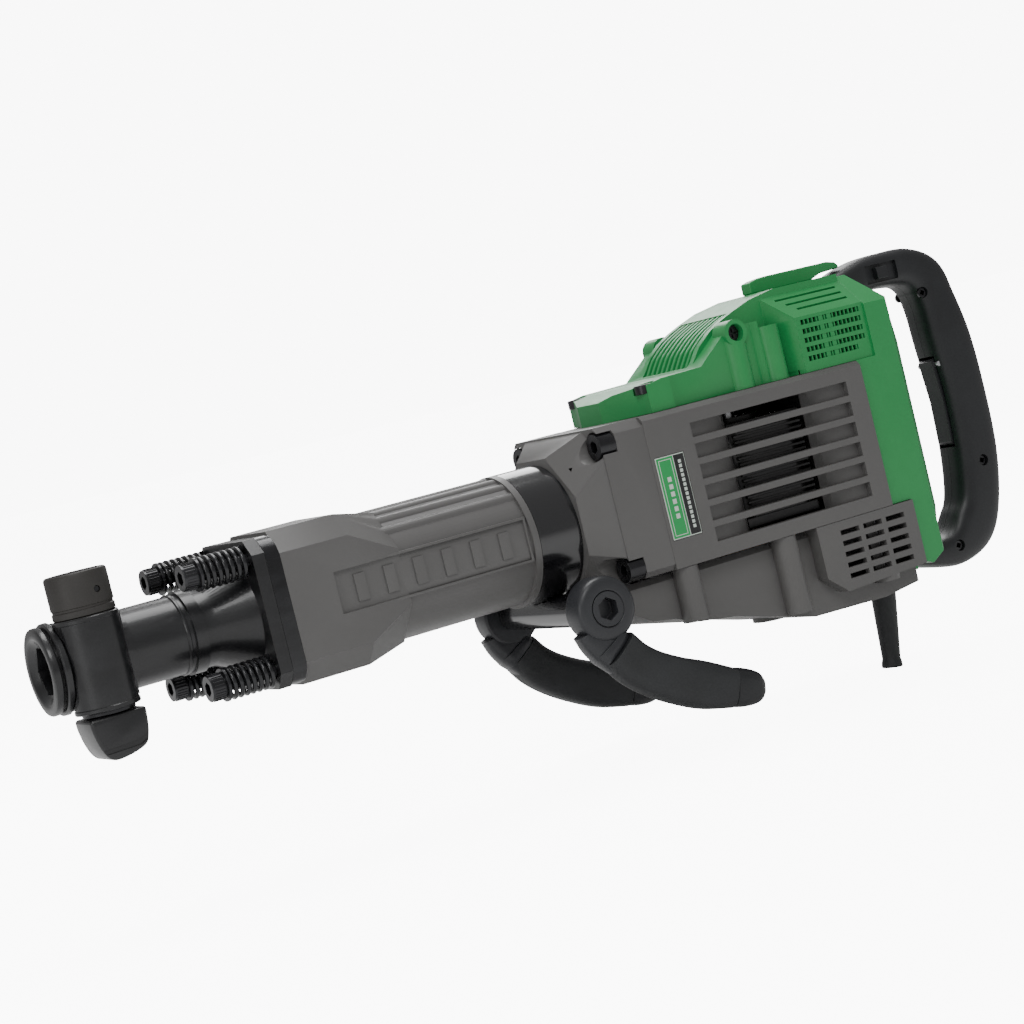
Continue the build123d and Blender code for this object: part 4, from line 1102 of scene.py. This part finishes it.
@dataclass
class RearHandle:
    """D-shaped rear handle with its switch, lock and the cord guard."""

    shop: Workshop
    bow: Rows = (
        (660, 115.0, 11.5, 16.5), (674, 118.5, 13.0, 16.8), (692, 122.6, 13.0, 16.8),
        (712, 123.2, 13.4, 16.8), (732, 121.0, 15.0, 16.8), (747, 110.5, 18.0, 16.8), (753, 92, 18.0, 16.8),
        (757.5, 60, 20.6, 16.8), (760, 20, 20.2, 16.8), (758.4, -28, 20.4, 16.8), (750.5, -66, 19.6, 16.8),
        (738, -86, 20.0, 16.8), (719, -97.6, 14.4, 16.8), (698, -98.6, 9.8, 16.8),
        (668.5, -93.4, 7.0, 16.8))
    screw_places: Outline = ((737, 99), (757, -38), (716, -96))
    guard_start: Triple = (650.5, 0, -86.5)
    guard_way: Triple = (-0.13, 0, -1)

    def build(self) -> None:
        """Make every piece of the handle."""
        shop = self.shop
        self.halves()
        self.screws()
        shop.refined("switch_block", Finish.BLACK_PLASTIC, 0.5)
        shop.refined("trigger", Finish.BLACK_PLASTIC, 0.9, 3)
        shop.refined("trigger_pin", Finish.BRIGHT, 0.2)
        shop.refined("lock_slider", Finish.BLACK_PLASTIC, 0.5)
        self.cord_guard()

    def halves(self) -> None:
        """Two moulded halves that meet on a fine parting line."""
        for side, node in ((-1, "handle_left"), (1, "handle_right")):
            bow = Shape().loft(side_stations(self.bow, 0.0, 7), 56, 0.58).outward()
            room = Shape().box((725, 767), (-9, 9), (-22.5, 49.5))
            if side < 0:
                room.box((687, 717), (-18, -14), (114.5, 128.5))
            for x, z in self.screw_places:
                room.drum(Axis.Y, (x, z), sorted((side * 13.0, side * 18)), 4.4, sides=32)
            bow = bow.cut(room)
            everything = bow.bm.verts[:] + bow.bm.edges[:] + bow.bm.faces[:]
            cut = bmesh.ops.bisect_plane(bow.bm, geom=everything, plane_co=(0, side * 0.12, 0),
                                         plane_no=(0, side, 0), clear_inner=True)
            rim = [item for item in cut["geom_cut"] if isinstance(item, bmesh.types.BMEdge)]
            bmesh.ops.holes_fill(bow.bm, edges=rim, sides=0)
            self.shop.look(node, bow.outward(), Finish.BLACK_PLASTIC, ease=0.35, angle=40)

    def screws(self) -> None:
        """Sunk screws that hold the two halves together."""
        screws = Shape()
        for x, z in self.screw_places:
            screws.drum(Axis.Y, (x, z), (-14.6, -12.6), 3.7, sides=32)
            for turn in (20, 110):
                screws.drum(Axis.Y, (x, z), (-14.9, -14.4), 2.6, sides=4, turn=turn)
        self.shop.piece("handle_screws", screws.mirrored(), Finish.BLACKENED, "handle_left", ease=0.25)

    def cord_guard(self) -> None:
        """Tapered, ringed bend guard with an open end."""
        profile = [(0, 4.5), (0, 10.5), (10, 10.5), (19.4, 10.5), (20, 10.0), (34, 9.4), (50, 8.6), (66, 7.7),
                   (79, 7.0), (80.5, 7.4), (82, 7.8), (85.2, 8.0), (86, 7.3), (86, 4.5), (0, 4.5)]
        guard = Shape().spun(profile, Axis.Z, (0, 0), 48)
        turn = Vector((0, 0, 1)).rotation_difference(Vector(self.guard_way).normalized()).to_matrix()
        matrix = Matrix.Translation(self.guard_start) @ turn.to_4x4()
        bmesh.ops.transform(guard.bm, matrix=matrix, verts=guard.bm.verts[:])
        self.shop.look("cord_guard", guard.outward(), Finish.RUBBER, ease=0.15, angle=25)


# --- studio


@dataclass
class Studio:
    """Pale floor, soft lights and the camera."""

    lens: float = 80.9
    right: Sequence[float] = (0.8502, -0.4700, -0.2372)
    up: Sequence[float] = (0.2341, -0.0659, 0.9700)
    place: Sequence[float] = (-0.4037, -1.4115, 0.1057)
    floor_z: float = -0.1732
    backdrop: float = 9.0
    surroundings: float = 0.42

    def build(self) -> None:
        """Make the floor, the lights and the camera."""
        self.floor()
        self.world()
        self.lamp("key", (-0.5, -1.8, 1.9), (0.35, 0.0, 0.0), 1.0, 26)
        self.lamp("side", (-1.9, -0.9, 0.5), (0.1, 0.0, 0.0), 0.9, 9)
        self.lamp("top", (0.6, 0.3, 2.2), (0.4, 0.0, 0.05), 1.2, 34)
        self.lamp("back", (1.4, 1.7, 1.2), (0.4, 0.0, 0.0), 1.0, 16)
        self.camera()

    def floor(self) -> None:
        """Wide plain floor just under the hammer, bright enough to meet the surroundings without a line."""
        bm = bmesh.new()
        place = Matrix.Translation((0, 0, self.floor_z))
        bmesh.ops.create_grid(bm, x_segments=1, y_segments=1, size=60.0, matrix=place)
        floor = linked("floor", Shape(bm).handed_over("floor"))
        shading = Shading("floor_white")
        seen = shading.node("ShaderNodeLightPath")
        shading.set(Base_Color=(0.9, 0.9, 0.9), Roughness=0.9, Emission_Color=(1.0, 1.0, 1.0))
        shading.set(Emission_Strength=Signal(shading, seen.outputs["Is Camera Ray"]) * self.backdrop)
        floor.data.materials.append(shading.material)

    def world(self) -> None:
        """White backdrop, with softer and darker surroundings for the light on the hammer."""
        world = bpy.data.worlds.new("studio")
        world.use_nodes = True
        tree = world.node_tree
        sky = next(n for n in tree.nodes if n.type == "BACKGROUND")
        sky.inputs["Color"].default_value = (1.0, 1.0, 1.0, 1.0)
        seen = tree.nodes.new("ShaderNodeLightPath")
        level = tree.nodes.new("ShaderNodeMapRange")
        level.inputs["To Min"].default_value = self.surroundings
        level.inputs["To Max"].default_value = self.backdrop
        tree.links.new(seen.outputs["Is Camera Ray"], level.inputs["Value"])
        tree.links.new(level.outputs[0], sky.inputs["Strength"])
        bpy.context.scene.world = world

    def lamp(self, name: str, place: Triple, target: Triple, size: float, power: float) -> None:
        """Hang one soft square lamp.

        Args:
            name: the lamp's name.
            place: where it hangs, in metres.
            target: where it points.
            size: its side.
            power: its power.
        """
        light = bpy.data.lights.new(name, "AREA")
        light.size, light.energy = size, power
        lamp = linked(name, light)
        lamp.location = place
        lamp.rotation_euler = (Vector(target) - Vector(place)).to_track_quat("-Z", "Y").to_euler()

    def camera(self) -> None:
        """Place the camera."""
        right, up = Vector(self.right).normalized(), Vector(self.up).normalized()
        toward = right.cross(up).normalized()
        up = toward.cross(right)
        data = bpy.data.cameras.new("camera")
        data.lens, data.sensor_width, data.clip_start, data.clip_end = self.lens, 36.0, 0.01, 200.0
        camera = linked("camera", data)
        turn = Matrix((right, up, toward)).transposed().to_4x4()
        camera.matrix_world = Matrix.Translation(self.place) @ turn
        bpy.context.scene.camera = camera


def main() -> None:
    """Dress the frame, one sub-assembly after another."""
    logging.basicConfig(level=logging.INFO, format="%(message)s", stream=sys.stdout)
    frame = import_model()
    Studio().build()
    shop = Workshop(frame)
    for assembly in (Nose, SprungFlange, Barrel, SideHandle, Drive, GreyHousings, GreenCovers, RearHandle):
        LOG.info("building %s", assembly.__name__)
        assembly(shop).build()
    LOG.info("%d pieces", shop.count)


if __name__ == "__main__":
    main()
